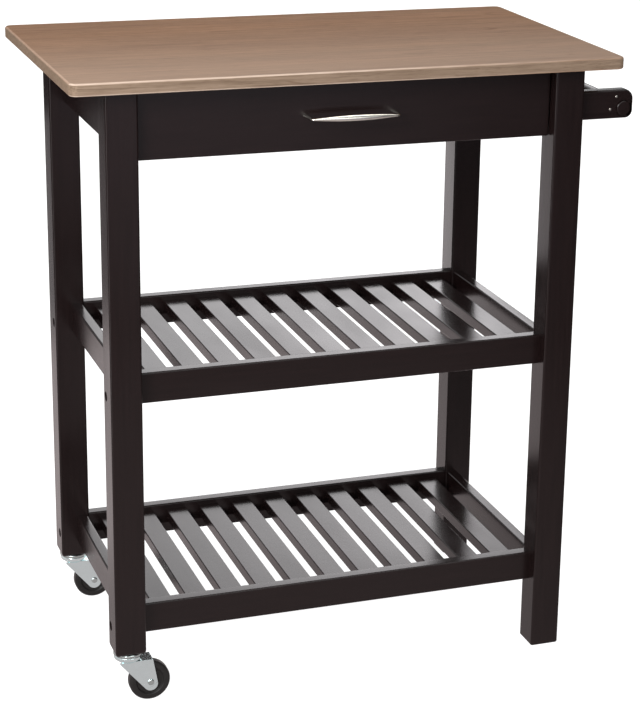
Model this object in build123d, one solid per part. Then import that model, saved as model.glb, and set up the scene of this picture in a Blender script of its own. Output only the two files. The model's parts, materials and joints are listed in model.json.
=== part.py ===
from build123d import *
import os

# Kitchen trolley on two casters and two plain legs.
# Millimetres. X runs along the long side, Y from front to back, Z up from the floor.
# The drawer opens towards -Y, the casters are on the -X side, the towel bar is on the +X side.
# Everything is laid out about the middle of the four legs and moved to the origin when written.

# Worktop
TOP_HEIGHT = 915.0
TOP_PAST_ENDS = 51.0
TOP_PAST_SIDES = 24.5
TOP_THICKNESS = 17.5
TOP_CORNER_R = 12.0
TOP_UPPER_R = 3.5
TOP_LOWER_R = 3.0

# Leg frame
FRAME_LENGTH = 693.0
FRAME_DEPTH = 411.0
LEG = 44.5
LEG_ARRIS = 3.0
LEG_FOOT_R = 3.5
LEG_SOCKET_R = 6.0

# Shelf rails and slats
SHELF_TOPS = {"upper": 497.7, "lower": 149.1}
RAIL_HEIGHT = 44.7
LONG_RAIL_T = 19.0
LONG_RAIL_INSET = 21.0
SIDE_RAIL_T = 16.5
SIDE_RAIL_INSET = 24.8
RAIL_ARRIS = 2.5
SLAT_COUNT = 11
SLAT_WIDTH = 32.4
SLAT_T = 16.6
SLAT_DROP = 8.9
SLAT_ARRIS = 1.8
CLEAT = 15.0

# Rails under the top
APRON_HEIGHT = 90.5
SIDE_APRON_T = 16.0
SIDE_APRON_INSET = 23.5
STRETCHER_WIDTH = 45.0
STRETCHER_T = 16.0
STRETCHER_SET_BACK = 1.0

# Joinery
WOOD_FIT = 0.05
CUT_PAST = 1.0
HOLE_DEEPER = 0.5
DOWEL_ROOM = 1.0
DOWEL_R = 4.0
DOWEL_IN_LEG = 9.0
DOWEL_IN_RAIL = 22.0
LONG_DOWEL_UP = 31.0
SIDE_DOWEL_UPS = (12.0, 33.0)
APRON_DOWEL_UPS = (14.0, 70.0)
BOLT_UP = 13.0
BOLT_R = 3.0
BOLT_LENGTH = 80.0
BOLT_HEAD_R = 5.5
BOLT_HEAD_H = 5.0
BOLT_SOCKET_R = 2.3
COUNTERBORE_R = 7.0
COUNTERBORE_DEPTH = 10.0
NUT_R = 5.0
NUT_LENGTH = 14.0
NUT_FROM_END = 35.0
SCREW_R = 1.75
SCREW_HEAD_R = 3.4
SCREW_HEAD_H = 1.6
SLAT_SCREW_LENGTH = 27.0
BRACKET_LEG = 20.0
BRACKET_WIDTH = 18.0
BRACKET_T = 1.5
BRACKET_HOLE = 12.0
BRACKET_SCREW_LENGTH = 13.0

# Drawer
DRAWER_FRONT_H = 97.0
DRAWER_FRONT_T = 18.0
DRAWER_FRONT_INSET = 17.5
DRAWER_FRONT_ARRIS = 2.0
DRAWER_END_GAP = 1.5
DRAWER_TOP_GAP = 2.0
DRAWER_BOX_T = 12.0
DRAWER_BOX_H = 65.0
DRAWER_BOX_RISE = 8.5
DRAWER_BACK_CLEAR = 35.5
BOTTOM_T = 5.0
BOTTOM_UP = 7.0
GROOVE_DEPTH = 6.0
GROOVE_FIT = 0.25
DRAWER_DOWEL_UPS = (24.0, 48.0)
DRAWER_DOWEL_IN_FRONT = 10.0
DRAWER_DOWEL_IN_SIDE = 20.0
DRAWER_SCREW_LENGTH = 30.0

# Roller slides
SLIDE_SPACE = 12.5
SLIDE_HEIGHT = 32.0
SLIDE_T = 1.2
SLIDE_LIP = 8.8
SLIDE_UP = 3.0
SLIDE_FRONT_GAP = 2.0
ROLLER_WIDTH = 6.0
ROLLER_IN = 3.6
ROLLER_EASE = 0.6
CABINET_ROLLER_R = 9.0
DRAWER_ROLLER_R = 11.0
ROLLER_PIN_R = 2.0
ROLLER_PIN_PROUD = 0.5
RUN_FIT = 0.05
ROLL_GAP = 0.3
CABINET_ROLLER_BACK = 12.0
DRAWER_ROLLER_BACK = 15.0
CHANNEL_MOUTH = 30.0
RUNNER_DOWN = 0.8
RUNNER_FLANGE_GAP = 1.0
PACKER_HEIGHT = 40.0
PACKER_DROP = 4.0
SLIDE_SCREW_LENGTH = 16.0
RUNNER_SCREW_HEAD_R = 2.8
RUNNER_SCREW_DOWN = 6.0
RUNNER_SCREW_AHEAD = 20.0
RUNNER_SCREW_SHORT = 1.0

# Bow handle
HANDLE_CENTRES = 128.0
HANDLE_SPLAY = 4.0
HANDLE_REACH = 28.0
HANDLE_BOW = 2.0
HANDLE_STRAP = 4.5
HANDLE_MID_H = 11.0
HANDLE_END_H = 5.0
HANDLE_UP = 48.5
HANDLE_BEND_R = 6.0
HANDLE_SOFTEN = 1.2
HANDLE_SCREW_R = 2.0
HANDLE_SCREW_HEAD_R = 4.4
HANDLE_SCREW_BITE = 8.0

# Towel bar
ARM_REACH = 84.5
ARM_T = 19.0
ARM_HEIGHT = 42.3
ARM_BELOW_TOP = 36.7
ARM_TOP_R = 15.0
ARM_BOTTOM_R = 11.5
ARM_ARRIS = 2.0
BAR_R = 11.0
BAR_FROM_TIP = 15.2
BAR_UP = 14.7
BAR_PROUD = 1.2
BAR_EASE = 1.0
ARM_SCREW_R = 2.5
ARM_SCREW_HEAD_R = 5.0
ARM_SCREW_LENGTH = 70.0
ARM_SCREW_UPS = (11.0, 31.0)
BRAD_R = 0.9
BRAD_HEAD_R = 1.9
BRAD_LENGTH = 14.0
BRAD_HEAD_H = 0.9
BRAD_HEAD_EASE = 0.7
BRADS = ((57.1, 32.2), (48.1, 14.0))

# Casters
WHEEL_R = 30.0
WHEEL_WIDTH = 18.0
WHEEL_SHOULDER = 4.5
HUB_R = 8.0
HUB_HALF = 9.7
WEB_R = 21.0
WEB_RECESS = 2.5
WEB_SLOPE = 2.0
TRAIL = 30.2
AXLE_R = 3.0
AXLE_HEAD_R = 4.8
AXLE_HEAD_H = 2.0
AXLE_HEAD_EASE = 1.7
FORK_T = 2.0
FORK_GAP = 0.8
FORK_LOBE_R = 10.3
FORK_LOBE_DROP = 3.0
CROWN_OVER_WHEEL = 4.0
CROWN_UNDER_LEG = 14.0
CROWN_AHEAD = 33.8
CROWN_BEHIND = 14.2
CROWN_RIM_R = 20.3
CROWN_RIM_WALL = 2.2
CROWN_RIM_UP = 9.2
CROWN_RIM_EASE = 0.7
CROWN_BELT_UP = 5.5
CROWN_BELT_EASE = (0.6, 1.6)
RACE_R = 21.0
RACE_T = 2.6
RACE_SKIRT = 1.7
RACE_SKIRT_T = 1.6
RACE_BREAK = 1.0
RACE_SKIRT_BREAK = (0.5, 0.7)
BALL_R = 2.0
BALL_COUNT = 16
BALL_PITCH_R = 14.5
BALL_CLEAR = 0.15
BALL_SEAT_W = 3.4
KINGPIN_R = 4.0
KINGPIN_HEAD_R = 7.0
KINGPIN_HEAD_H = 2.5
KINGPIN_BREAK = 1.2
STEM_R = 5.0
STEM_BREAK = 1.0
STEM_UNDER_BOLT = 1.4
INSERT_R = 7.0
INSERT_SHORT = 1.0

# Sizes and places that follow from the sizes above
TOP_LENGTH = FRAME_LENGTH + 2 * TOP_PAST_ENDS
TOP_DEPTH = FRAME_DEPTH + 2 * TOP_PAST_SIDES
LEG_X = (FRAME_LENGTH - LEG) / 2
LEG_Y = (FRAME_DEPTH - LEG) / 2
LEG_OUT_X = FRAME_LENGTH / 2
LEG_OUT_Y = FRAME_DEPTH / 2
LEG_IN_X = LEG_OUT_X - LEG
LEG_IN_Y = LEG_OUT_Y - LEG
TOP_UNDER = TOP_HEIGHT - TOP_THICKNESS
APRON_BOTTOM = TOP_UNDER - APRON_HEIGHT
RAIL_OUT_Y = LEG_OUT_Y - LONG_RAIL_INSET
RAIL_IN_Y = RAIL_OUT_Y - LONG_RAIL_T
RAIL_MID_Y = RAIL_OUT_Y - LONG_RAIL_T / 2
SIDE_OUT_X = LEG_OUT_X - SIDE_RAIL_INSET
SIDE_MID_X = SIDE_OUT_X - SIDE_RAIL_T / 2
APRON_OUT_X = LEG_OUT_X - SIDE_APRON_INSET
APRON_IN_X = APRON_OUT_X - SIDE_APRON_T
APRON_MID_X = APRON_OUT_X - SIDE_APRON_T / 2
SIDE_IN_X = SIDE_OUT_X - SIDE_RAIL_T
SLAT_GAP = (2 * SIDE_IN_X - SLAT_COUNT * SLAT_WIDTH) / (SLAT_COUNT + 1)
SLAT_PITCH = SLAT_WIDTH + SLAT_GAP
DRAWER_FACE_Y = -(LEG_OUT_Y - DRAWER_FRONT_INSET)
DRAWER_BACK_Y = DRAWER_FACE_Y + DRAWER_FRONT_T
DRAWER_FRONT_TOP = TOP_UNDER - DRAWER_TOP_GAP
DRAWER_FRONT_BOTTOM = DRAWER_FRONT_TOP - DRAWER_FRONT_H
DRAWER_FRONT_X = LEG_IN_X - DRAWER_END_GAP
BOX_OUT_X = LEG_IN_X - SLIDE_SPACE
BOX_IN_X = BOX_OUT_X - DRAWER_BOX_T
BOX_BOTTOM = DRAWER_FRONT_BOTTOM + DRAWER_BOX_RISE
BOX_TOP = BOX_BOTTOM + DRAWER_BOX_H
BOX_END_Y = RAIL_IN_Y - DRAWER_BACK_CLEAR
PANEL_Z = BOX_BOTTOM + BOTTOM_UP
SLIDE_Z = BOX_BOTTOM + SLIDE_UP
SLIDE_Y = DRAWER_BACK_Y + SLIDE_FRONT_GAP
SLIDE_LENGTH = BOX_END_Y - DRAWER_BACK_Y
HANDLE_Z = DRAWER_FRONT_BOTTOM + HANDLE_UP
ARM_TIP_X = LEG_OUT_X + ARM_REACH
ARM_BOTTOM = TOP_UNDER - ARM_BELOW_TOP - ARM_HEIGHT
BAR_X = ARM_TIP_X - BAR_FROM_TIP
BAR_Z = ARM_BOTTOM + BAR_UP
FORK_IN = HUB_HALF + FORK_GAP
FORK_OUT = FORK_IN + FORK_T
CROWN_TOP = 2 * WHEEL_R + CROWN_OVER_WHEEL + FORK_T
CROWN_BELT = CROWN_TOP + CROWN_BELT_UP
CROWN_RIM_TOP = CROWN_TOP + CROWN_RIM_UP
LEG_LIFT = CROWN_TOP + CROWN_UNDER_LEG
RACE_UNDER = LEG_LIFT - RACE_T
BALL_Z = RACE_UNDER - BALL_R + 2 * BALL_CLEAR
LOWEST_BOLT_Z = min(SHELF_TOPS.values()) - RAIL_HEIGHT + BOLT_UP
STEM_LENGTH = LOWEST_BOLT_Z - BOLT_R - STEM_UNDER_BOLT - LEG_LIFT
INSERT_LENGTH = STEM_LENGTH - INSERT_SHORT
ORIGIN_X = (ARM_TIP_X - TOP_LENGTH / 2) / 2

# Two places nearer than this count as the same
SAME_PLACE = 0.01

pieces = {}


def add(name, *solids):
    """Keep the solids of one named piece, or of one group of like pieces."""
    pieces.setdefault(name, []).extend(solids)


def block(x, y, z):
    """A box between two limits on each axis, given in either order."""
    size = [abs(high - low) for low, high in (x, y, z)]
    middle = [(high + low) / 2 for low, high in (x, y, z)]
    return Pos(*middle) * Box(*size)


def rod_x(x, y, z, radius):
    """A round bar along X between the two x limits."""
    return Pos((x[0] + x[1]) / 2, y, z) * Rot(0, 90, 0) * Cylinder(radius, abs(x[1] - x[0]))


def rod_y(x, y, z, radius):
    """A round bar along Y between the two y limits."""
    return Pos(x, (y[0] + y[1]) / 2, z) * Rot(90, 0, 0) * Cylinder(radius, abs(y[1] - y[0]))


def rod_z(x, y, z, radius):
    """A round bar along Z between the two z limits."""
    return Pos(x, y, (z[0] + z[1]) / 2) * Cylinder(radius, abs(z[1] - z[0]))


def eased(shape, axis, radius):
    """Round the edges that run along one axis."""
    return fillet(shape.edges().filter_by(axis), radius)


def turned(outline, x=0.0, y=0.0):
    """Spin an outline of (radius, height) points about a vertical axis at x, y."""
    face = make_face(Polyline(*[(r, 0, z) for r, z in outline], close=True))
    return Pos(x, y, 0) * revolve(face, Axis.Z)


def worktop():
    """The plain top, rounded in plan and eased above and below."""
    board = block((-TOP_LENGTH / 2, TOP_LENGTH / 2), (-TOP_DEPTH / 2, TOP_DEPTH / 2), (TOP_UNDER, TOP_HEIGHT))
    board = eased(board, Axis.Z, TOP_CORNER_R)
    board = fillet(board.faces().sort_by(Axis.Z)[-1].edges(), TOP_UPPER_R)
    return fillet(board.faces().sort_by(Axis.Z)[0].edges(), TOP_LOWER_R)


def leg(side, end):
    """One leg. side is -1 on the caster side, end is -1 at the front."""
    bottom = LEG_LIFT if side < 0 else 0.0
    post = block(
        (side * LEG_IN_X, side * LEG_OUT_X),
        (end * LEG_IN_Y, end * LEG_OUT_Y),
        (bottom, TOP_UNDER),
    )
    post = eased(post, Axis.Z, LEG_ARRIS)
    foot_r = LEG_SOCKET_R if side < 0 else LEG_FOOT_R
    return fillet(post.faces().sort_by(Axis.Z)[0].edges(), min(foot_r, LEG / 4))


def rail(x, y, z, axis, arris=RAIL_ARRIS):
    """A straight rail with its long edges eased."""
    return eased(block(x, y, z), axis, arris)


def screw(head_at, towards, length, axis, across, head_r=SCREW_HEAD_R, shank_r=SCREW_R, sunk=False):
    """A plain screw along one axis, from its head's seat towards +1 or -1.

    across is the pair of its other two coordinates, in X, Y, Z order. A sunk head is a cone
    that lies below its seat, and any other head stands out of it."""
    if sunk:
        depth = head_r - shank_r
        head = Pos(0, 0, depth / 2) * Cone(head_r, shank_r, depth)
    else:
        head = Pos(0, 0, -SCREW_HEAD_H / 2) * Cylinder(head_r, SCREW_HEAD_H)
    body = head + Pos(0, 0, length / 2) * Cylinder(shank_r, length)
    if axis == "x":
        return Pos(head_at, across[0], across[1]) * Rot(0, 90 * towards, 0) * body
    if axis == "y":
        return Pos(across[0], head_at, across[1]) * Rot(-90 * towards, 0, 0) * body
    return Pos(across[0], across[1], head_at) * Rot(0, 0 if towards > 0 else 180, 0) * body


def drill(names, tool):
    """Cut one tool out of every solid of each named piece."""
    for name in names:
        pieces[name] = [solid - tool for solid in pieces[name]]


def frame_dowel(axis, at, across, inward, names):
    """A dowel through the joint plane at `at`, with its holes in the named pieces."""
    run = (at + inward * DOWEL_IN_RAIL, at - inward * DOWEL_IN_LEG)
    hole = (run[0] + inward * DOWEL_ROOM, run[1] - inward * HOLE_DEEPER)
    if axis == "x":
        dowel = rod_x(run, across[0], across[1], DOWEL_R)
        bore = rod_x(hole, across[0], across[1], DOWEL_R + WOOD_FIT)
    else:
        dowel = rod_y(across[0], run, across[1], DOWEL_R)
        bore = rod_y(across[0], hole, across[1], DOWEL_R + WOOD_FIT)
    add("frame_dowels", dowel)
    drill(names, bore)


SIDES = {"left": -1, "right": 1}
ENDS = {"front": -1, "rear": 1}


def build_legs():
    for end_name, end in ENDS.items():
        for side_name, side in SIDES.items():
            add(f"{end_name}_{side_name}_leg", leg(side, end))


def build_shelf(level):
    """Four rails, two cleats and the row of slats of one shelf, with their fastenings."""
    top = SHELF_TOPS[level]
    low = top - RAIL_HEIGHT
    slat_top = top - SLAT_DROP
    slat_low = slat_top - SLAT_T
    for end_name, end in ENDS.items():
        name = f"{level}_{end_name}_rail"
        add(name, rail((-LEG_IN_X, LEG_IN_X), (end * RAIL_IN_Y, end * RAIL_OUT_Y), (low, top), Axis.X))
        for side_name, side in SIDES.items():
            leg_name = f"{end_name}_{side_name}_leg"
            across = (end * RAIL_MID_Y, low + LONG_DOWEL_UP)
            frame_dowel("x", side * LEG_IN_X, across, -side, (leg_name, name))
            rail_bolt(side, end, low + BOLT_UP, leg_name, name)
        cleat_y = (end * RAIL_IN_Y, end * (RAIL_IN_Y - CLEAT))
        add(f"{level}_{end_name}_cleat", block((-LEG_IN_X, LEG_IN_X), cleat_y, (slat_low - CLEAT, slat_low)))
    for side_name, side in SIDES.items():
        name = f"{level}_{side_name}_rail"
        add(name, rail((side * SIDE_IN_X, side * SIDE_OUT_X), (-LEG_IN_Y, LEG_IN_Y), (low, top), Axis.Y))
        for end_name, end in ENDS.items():
            for up in SIDE_DOWEL_UPS:
                at = end * LEG_IN_Y
                names = (f"{end_name}_{side_name}_leg", name)
                frame_dowel("y", at, (side * SIDE_MID_X, low + up), -end, names)
    build_slats(level, slat_low, slat_top)


def build_slats(level, slat_low, slat_top):
    """The slats lie on the cleats, each held by a screw at each end from below."""
    first = -(SLAT_COUNT - 1) / 2 * SLAT_PITCH
    for index in range(SLAT_COUNT):
        middle = first + index * SLAT_PITCH
        slat = rail(
            (middle - SLAT_WIDTH / 2, middle + SLAT_WIDTH / 2),
            (-RAIL_IN_Y, RAIL_IN_Y),
            (slat_low, slat_top),
            Axis.Y,
            SLAT_ARRIS,
        )
        for end_name, end in ENDS.items():
            across = (middle, end * (RAIL_IN_Y - CLEAT / 2))
            seat = slat_low - CLEAT
            fixing = screw(seat, 1, SLAT_SCREW_LENGTH, "z", across, sunk=True)
            bore = (SCREW_HEAD_R + WOOD_FIT, SCREW_R + WOOD_FIT)
            hole = screw(seat, 1, SLAT_SCREW_LENGTH + HOLE_DEEPER, "z", across, *bore, sunk=True)
            slat = slat - hole
            drill((f"{level}_{end_name}_cleat",), hole)
            add("slat_screws", fixing)
        add(f"{level}_slats", slat)


def rail_bolt(side, end, z, leg_name, rail_name):
    """A long bolt from the leg's outer face into a barrel nut in the end of a long rail."""
    y = end * RAIL_MID_Y
    seat = side * (LEG_OUT_X - COUNTERBORE_DEPTH)
    tip = seat - side * BOLT_LENGTH
    nut_x = side * (LEG_IN_X - NUT_FROM_END)
    nut_y = (end * RAIL_IN_Y, end * (RAIL_IN_Y + NUT_LENGTH))
    bolt = rod_x((seat, tip), y, z, BOLT_R)
    bolt += rod_x((seat, seat + side * BOLT_HEAD_H), y, z, BOLT_HEAD_R)
    bolt -= rod_x((seat + side * BOLT_HEAD_H / 2, seat + side * BOLT_HEAD_H), y, z, BOLT_SOCKET_R)
    hole = rod_x((side * (LEG_OUT_X + CUT_PAST), tip - side * HOLE_DEEPER), y, z, BOLT_R + WOOD_FIT)
    counterbore = rod_x((seat, side * (LEG_OUT_X + CUT_PAST)), y, z, COUNTERBORE_R)
    nut = rod_y(nut_x, nut_y, z, NUT_R) - hole
    nut_hole = rod_y(nut_x, (end * (RAIL_IN_Y - CUT_PAST), nut_y[1]), z, NUT_R + WOOD_FIT)
    drill((leg_name, rail_name), hole)
    drill((leg_name,), counterbore)
    drill((rail_name,), nut_hole)
    add("rail_bolts", bolt)
    add("barrel_nuts", nut)


def build_aprons():
    """Rails under the top: one at each side, one at the back, and a stretcher at the front."""
    z = (APRON_BOTTOM, TOP_UNDER)
    for side_name, side in SIDES.items():
        name = f"{side_name}_apron"
        add(name, rail((side * APRON_IN_X, side * APRON_OUT_X), (-LEG_IN_Y, LEG_IN_Y), z, Axis.Y))
        for end_name, end in ENDS.items():
            for up in APRON_DOWEL_UPS:
                names = (f"{end_name}_{side_name}_leg", name)
                frame_dowel("y", end * LEG_IN_Y, (side * APRON_MID_X, APRON_BOTTOM + up), -end, names)
    add("rear_apron", rail((-LEG_IN_X, LEG_IN_X), (RAIL_IN_Y, RAIL_OUT_Y), z, Axis.X))
    for side_name, side in SIDES.items():
        for up in APRON_DOWEL_UPS:
            names = (f"rear_{side_name}_leg", "rear_apron")
            frame_dowel("x", side * LEG_IN_X, (RAIL_MID_Y, APRON_BOTTOM + up), -side, names)
    front = -LEG_IN_Y + STRETCHER_SET_BACK
    add("front_stretcher", block(
        (-APRON_IN_X, APRON_IN_X),
        (front, front + STRETCHER_WIDTH),
        (TOP_UNDER - STRETCHER_T, TOP_UNDER),
    ))
    for side_name, side in SIDES.items():
        names = (f"{side_name}_apron", "front_stretcher")
        across = (front + STRETCHER_WIDTH / 2, TOP_UNDER - STRETCHER_T / 2)
        frame_dowel("x", side * APRON_IN_X, across, -side, names)


def bracket():
    """A small angle for the corner between a rail and the top, at the origin, facing +X."""
    plate = block((0, BRACKET_LEG), (-BRACKET_WIDTH / 2, BRACKET_WIDTH / 2), (-BRACKET_T, 0))
    plate += block((0, BRACKET_T), (-BRACKET_WIDTH / 2, BRACKET_WIDTH / 2), (-BRACKET_LEG, 0))
    up = rod_z(BRACKET_HOLE, 0, (-BRACKET_T - CUT_PAST, CUT_PAST), SCREW_R + WOOD_FIT)
    out = rod_x((-CUT_PAST, BRACKET_T + CUT_PAST), 0, -BRACKET_HOLE, SCREW_R + WOOD_FIT)
    return plate - up - out


def build_top_fixings():
    """Angles screwed to the aprons and up into the top."""
    length = BRACKET_SCREW_LENGTH
    up_screw = screw(-BRACKET_T, 1, length, "z", (BRACKET_HOLE, 0))
    out_screw = screw(BRACKET_T, -1, length, "x", (0, -BRACKET_HOLE))
    up_hole = rod_z(BRACKET_HOLE, 0, (-BRACKET_T, length), SCREW_R + WOOD_FIT)
    out_hole = rod_x((BRACKET_T, -length), 0, -BRACKET_HOLE, SCREW_R + WOOD_FIT)
    side_y = LEG_IN_Y / 2
    rear_x = LEG_IN_X / 2
    seats = [("left_apron", (-APRON_IN_X, y), 0) for y in (-side_y, side_y)]
    seats += [("right_apron", (APRON_IN_X, y), 180) for y in (-side_y, side_y)]
    seats += [("rear_apron", (x, RAIL_IN_Y), -90) for x in (-rear_x, rear_x)]
    for apron, (x, y), angle in seats:
        place = Pos(x, y, TOP_UNDER) * Rot(0, 0, angle)
        add("top_brackets", place * bracket())
        add("frame_screws", place * up_screw, place * out_screw)
        drill(("worktop",), place * up_hole)
        drill((apron,), place * out_hole)


def slide_box(side, u, y, z):
    """A box in a slide's own section: u is measured in from the leg's inner face."""
    return block((side * (LEG_IN_X - u[0]), side * (LEG_IN_X - u[1])), y, (SLIDE_Z + z[0], SLIDE_Z + z[1]))


def slide_rod(side, u, y, z, radius):
    """A round bar across a slide, along X."""
    return rod_x((side * (LEG_IN_X - u[0]), side * (LEG_IN_X - u[1])), y, SLIDE_Z + z, radius)


def roller(side, y, z, radius):
    """A nylon roller with eased rims and a running bore."""
    u = (ROLLER_IN, ROLLER_IN + ROLLER_WIDTH)
    tyre = slide_rod(side, u, y, z, radius)
    tyre = fillet(tyre.edges(), ROLLER_EASE)
    return tyre - slide_rod(side, (u[0] - CUT_PAST, u[1] + CUT_PAST), y, z, ROLLER_PIN_R + RUN_FIT)


def build_slides():
    """A roller slide at each side: a channel on the frame and a flanged runner on the drawer."""
    back = SLIDE_Y + SLIDE_LENGTH
    lip = SLIDE_T + SLIDE_LIP
    web_in = SLIDE_SPACE - SLIDE_T
    floor = SLIDE_T
    ceiling = SLIDE_HEIGHT - SLIDE_T
    front_y = SLIDE_Y + CABINET_ROLLER_BACK
    front_z = floor + ROLL_GAP + CABINET_ROLLER_R
    rear_y = SLIDE_Y + SLIDE_LENGTH - DRAWER_ROLLER_BACK
    rear_z = floor + ROLL_GAP + DRAWER_ROLLER_R
    flange_z = front_z + CABINET_ROLLER_R + ROLL_GAP
    flange_end = rear_y - DRAWER_ROLLER_R - RUNNER_FLANGE_GAP
    packer_z = SLIDE_Z - PACKER_DROP
    for side_name, side in SIDES.items():
        add("slide_packers", block(
            (side * LEG_IN_X, side * APRON_IN_X),
            (-LEG_IN_Y, LEG_IN_Y),
            (packer_z, packer_z + PACKER_HEIGHT),
        ))
        channel = slide_box(side, (0, SLIDE_T), (SLIDE_Y, back), (0, SLIDE_HEIGHT))
        channel += slide_box(side, (0, lip), (SLIDE_Y, back), (0, floor))
        channel += slide_box(side, (0, lip), (SLIDE_Y + CHANNEL_MOUTH, back), (ceiling, SLIDE_HEIGHT))
        pin = (0, ROLLER_IN + ROLLER_WIDTH + ROLLER_PIN_PROUD)
        front_pin = slide_rod(side, pin, front_y, front_z, ROLLER_PIN_R)
        pin_hole = (-CUT_PAST, SLIDE_T + CUT_PAST)
        channel -= slide_rod(side, pin_hole, front_y, front_z, ROLLER_PIN_R + WOOD_FIT)
        run = (SLIDE_Y, BOX_END_Y)
        runner_z = (-SLIDE_UP - SLIDE_T, -SLIDE_UP)
        upper_z = (flange_z, flange_z + SLIDE_T)
        runner = slide_box(side, (web_in, SLIDE_SPACE), run, (runner_z[0], ceiling - RUNNER_DOWN))
        runner += slide_box(side, (web_in, SLIDE_SPACE + DRAWER_BOX_T), run, runner_z)
        runner += slide_box(side, (ROLLER_IN, SLIDE_SPACE), (SLIDE_Y, flange_end), upper_z)
        rear_pin = slide_rod(side, (ROLLER_IN - ROLLER_PIN_PROUD, SLIDE_SPACE), rear_y, rear_z, ROLLER_PIN_R)
        pin_hole = (web_in - CUT_PAST, SLIDE_SPACE + CUT_PAST)
        runner -= slide_rod(side, pin_hole, rear_y, rear_z, ROLLER_PIN_R + WOOD_FIT)
        add(f"{side_name}_cabinet_slide", channel, front_pin)
        add(f"{side_name}_drawer_slide", runner, rear_pin)
        add(f"{side_name}_cabinet_roller", roller(side, front_y, front_z, CABINET_ROLLER_R))
        add(f"{side_name}_drawer_roller", roller(side, rear_y, rear_z, DRAWER_ROLLER_R))
        build_slide_screws(side_name, side)


def build_slide_screws(side_name, side):
    """Three screws hold each channel to the frame and three hold each runner to the drawer."""
    reach = SLIDE_LENGTH / 4
    for count in (1, 2, 3):
        y = SLIDE_Y + count * reach
        z = SLIDE_Z + SLIDE_HEIGHT / 2
        seat = side * (LEG_IN_X - SLIDE_T)
        fixing = screw(seat, side, SLIDE_SCREW_LENGTH, "x", (y, z))
        run = (seat - side * CUT_PAST, seat + side * (SLIDE_SCREW_LENGTH + HOLE_DEEPER))
        hole = rod_x(run, y, z, SCREW_R + WOOD_FIT)
        drill((f"{side_name}_cabinet_slide", "slide_packers", f"{side_name}_apron"), hole)
        add("frame_screws", fixing)
        y -= RUNNER_SCREW_AHEAD
        z = SLIDE_Z + SLIDE_HEIGHT - RUNNER_SCREW_DOWN
        seat = side * (BOX_OUT_X + SLIDE_T)
        length = SLIDE_T + DRAWER_BOX_T - RUNNER_SCREW_SHORT
        fixing = screw(seat, -side, length, "x", (y, z), head_r=RUNNER_SCREW_HEAD_R)
        run = (seat + side * CUT_PAST, seat - side * (length + HOLE_DEEPER))
        hole = rod_x(run, y, z, SCREW_R + WOOD_FIT)
        drill((f"{side_name}_drawer_slide", f"drawer_{side_name}_side"), hole)
        add("drawer_screws", fixing)


def build_drawer():
    """The drawer: a thick front, two sides, a back and a thin bottom in grooves."""
    face = (DRAWER_FACE_Y, DRAWER_BACK_Y)
    front = block((-DRAWER_FRONT_X, DRAWER_FRONT_X), face, (DRAWER_FRONT_BOTTOM, DRAWER_FRONT_TOP))
    front = fillet(front.faces().sort_by(Axis.Y)[0].edges(), DRAWER_FRONT_ARRIS)
    add("drawer_front", front)
    for side_name, side in SIDES.items():
        add(f"drawer_{side_name}_side", block(
            (side * BOX_IN_X, side * BOX_OUT_X),
            (DRAWER_BACK_Y, BOX_END_Y),
            (BOX_BOTTOM, BOX_TOP),
        ))
    panel_top = PANEL_Z + BOTTOM_T
    back_y = (BOX_END_Y - DRAWER_BOX_T, BOX_END_Y)
    add("drawer_back", block((-BOX_IN_X, BOX_IN_X), back_y, (panel_top, BOX_TOP)))
    reach_x = BOX_IN_X + GROOVE_DEPTH
    groove = block(
        (-reach_x, reach_x),
        (DRAWER_BACK_Y - GROOVE_DEPTH, BOX_END_Y + CUT_PAST),
        (PANEL_Z, panel_top),
    )
    drill(("drawer_front", "drawer_left_side", "drawer_right_side"), groove)
    add("drawer_bottom", block(
        (-reach_x + GROOVE_FIT, reach_x - GROOVE_FIT),
        (DRAWER_BACK_Y - GROOVE_DEPTH + GROOVE_FIT, BOX_END_Y),
        (PANEL_Z, panel_top),
    ))
    for side_name, side in SIDES.items():
        side_piece = f"drawer_{side_name}_side"
        x = side * (BOX_IN_X + DRAWER_BOX_T / 2)
        for up in DRAWER_DOWEL_UPS:
            z = BOX_BOTTOM + up
            run = (DRAWER_BACK_Y - DRAWER_DOWEL_IN_FRONT, DRAWER_BACK_Y + DRAWER_DOWEL_IN_SIDE)
            add("drawer_dowels", rod_y(x, run, z, DOWEL_R))
            bore = (run[0] - HOLE_DEEPER, run[1] + DOWEL_ROOM)
            drill(("drawer_front", side_piece), rod_y(x, bore, z, DOWEL_R + WOOD_FIT))
            across = (BOX_END_Y - DRAWER_BOX_T / 2, z)
            seat = side * BOX_OUT_X
            add("drawer_screws", screw(seat, -side, DRAWER_SCREW_LENGTH, "x", across, sunk=True))
            bore = (SCREW_HEAD_R + WOOD_FIT, SCREW_R + WOOD_FIT)
            hole = screw(seat, -side, DRAWER_SCREW_LENGTH + HOLE_DEEPER, "x", across, *bore, sunk=True)
            drill((side_piece, "drawer_back"), hole)


def bow_path(offset):
    """The handle's line in plan, from post to post, moved out by an offset."""
    foot = HANDLE_CENTRES / 2
    shoulder = foot - HANDLE_SPLAY
    top = HANDLE_REACH - HANDLE_BOW
    return foot + offset, shoulder + offset, top + offset, HANDLE_REACH + offset


def bow_plan(offset):
    """The area inside the handle's line in plan, drawn on XY with the face at y = 0."""
    foot, shoulder, top, middle = bow_path(offset)
    crown = ThreePointArc((-shoulder, -top), (0, -middle), (shoulder, -top))
    legs = Polyline((shoulder, -top), (foot, CUT_PAST), (-foot, CUT_PAST), (-shoulder, -top))
    area = make_face(crown + legs)
    corners = area.vertices().group_by(Axis.Y)[0]
    return fillet(corners, HANDLE_BEND_R + offset)


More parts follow.
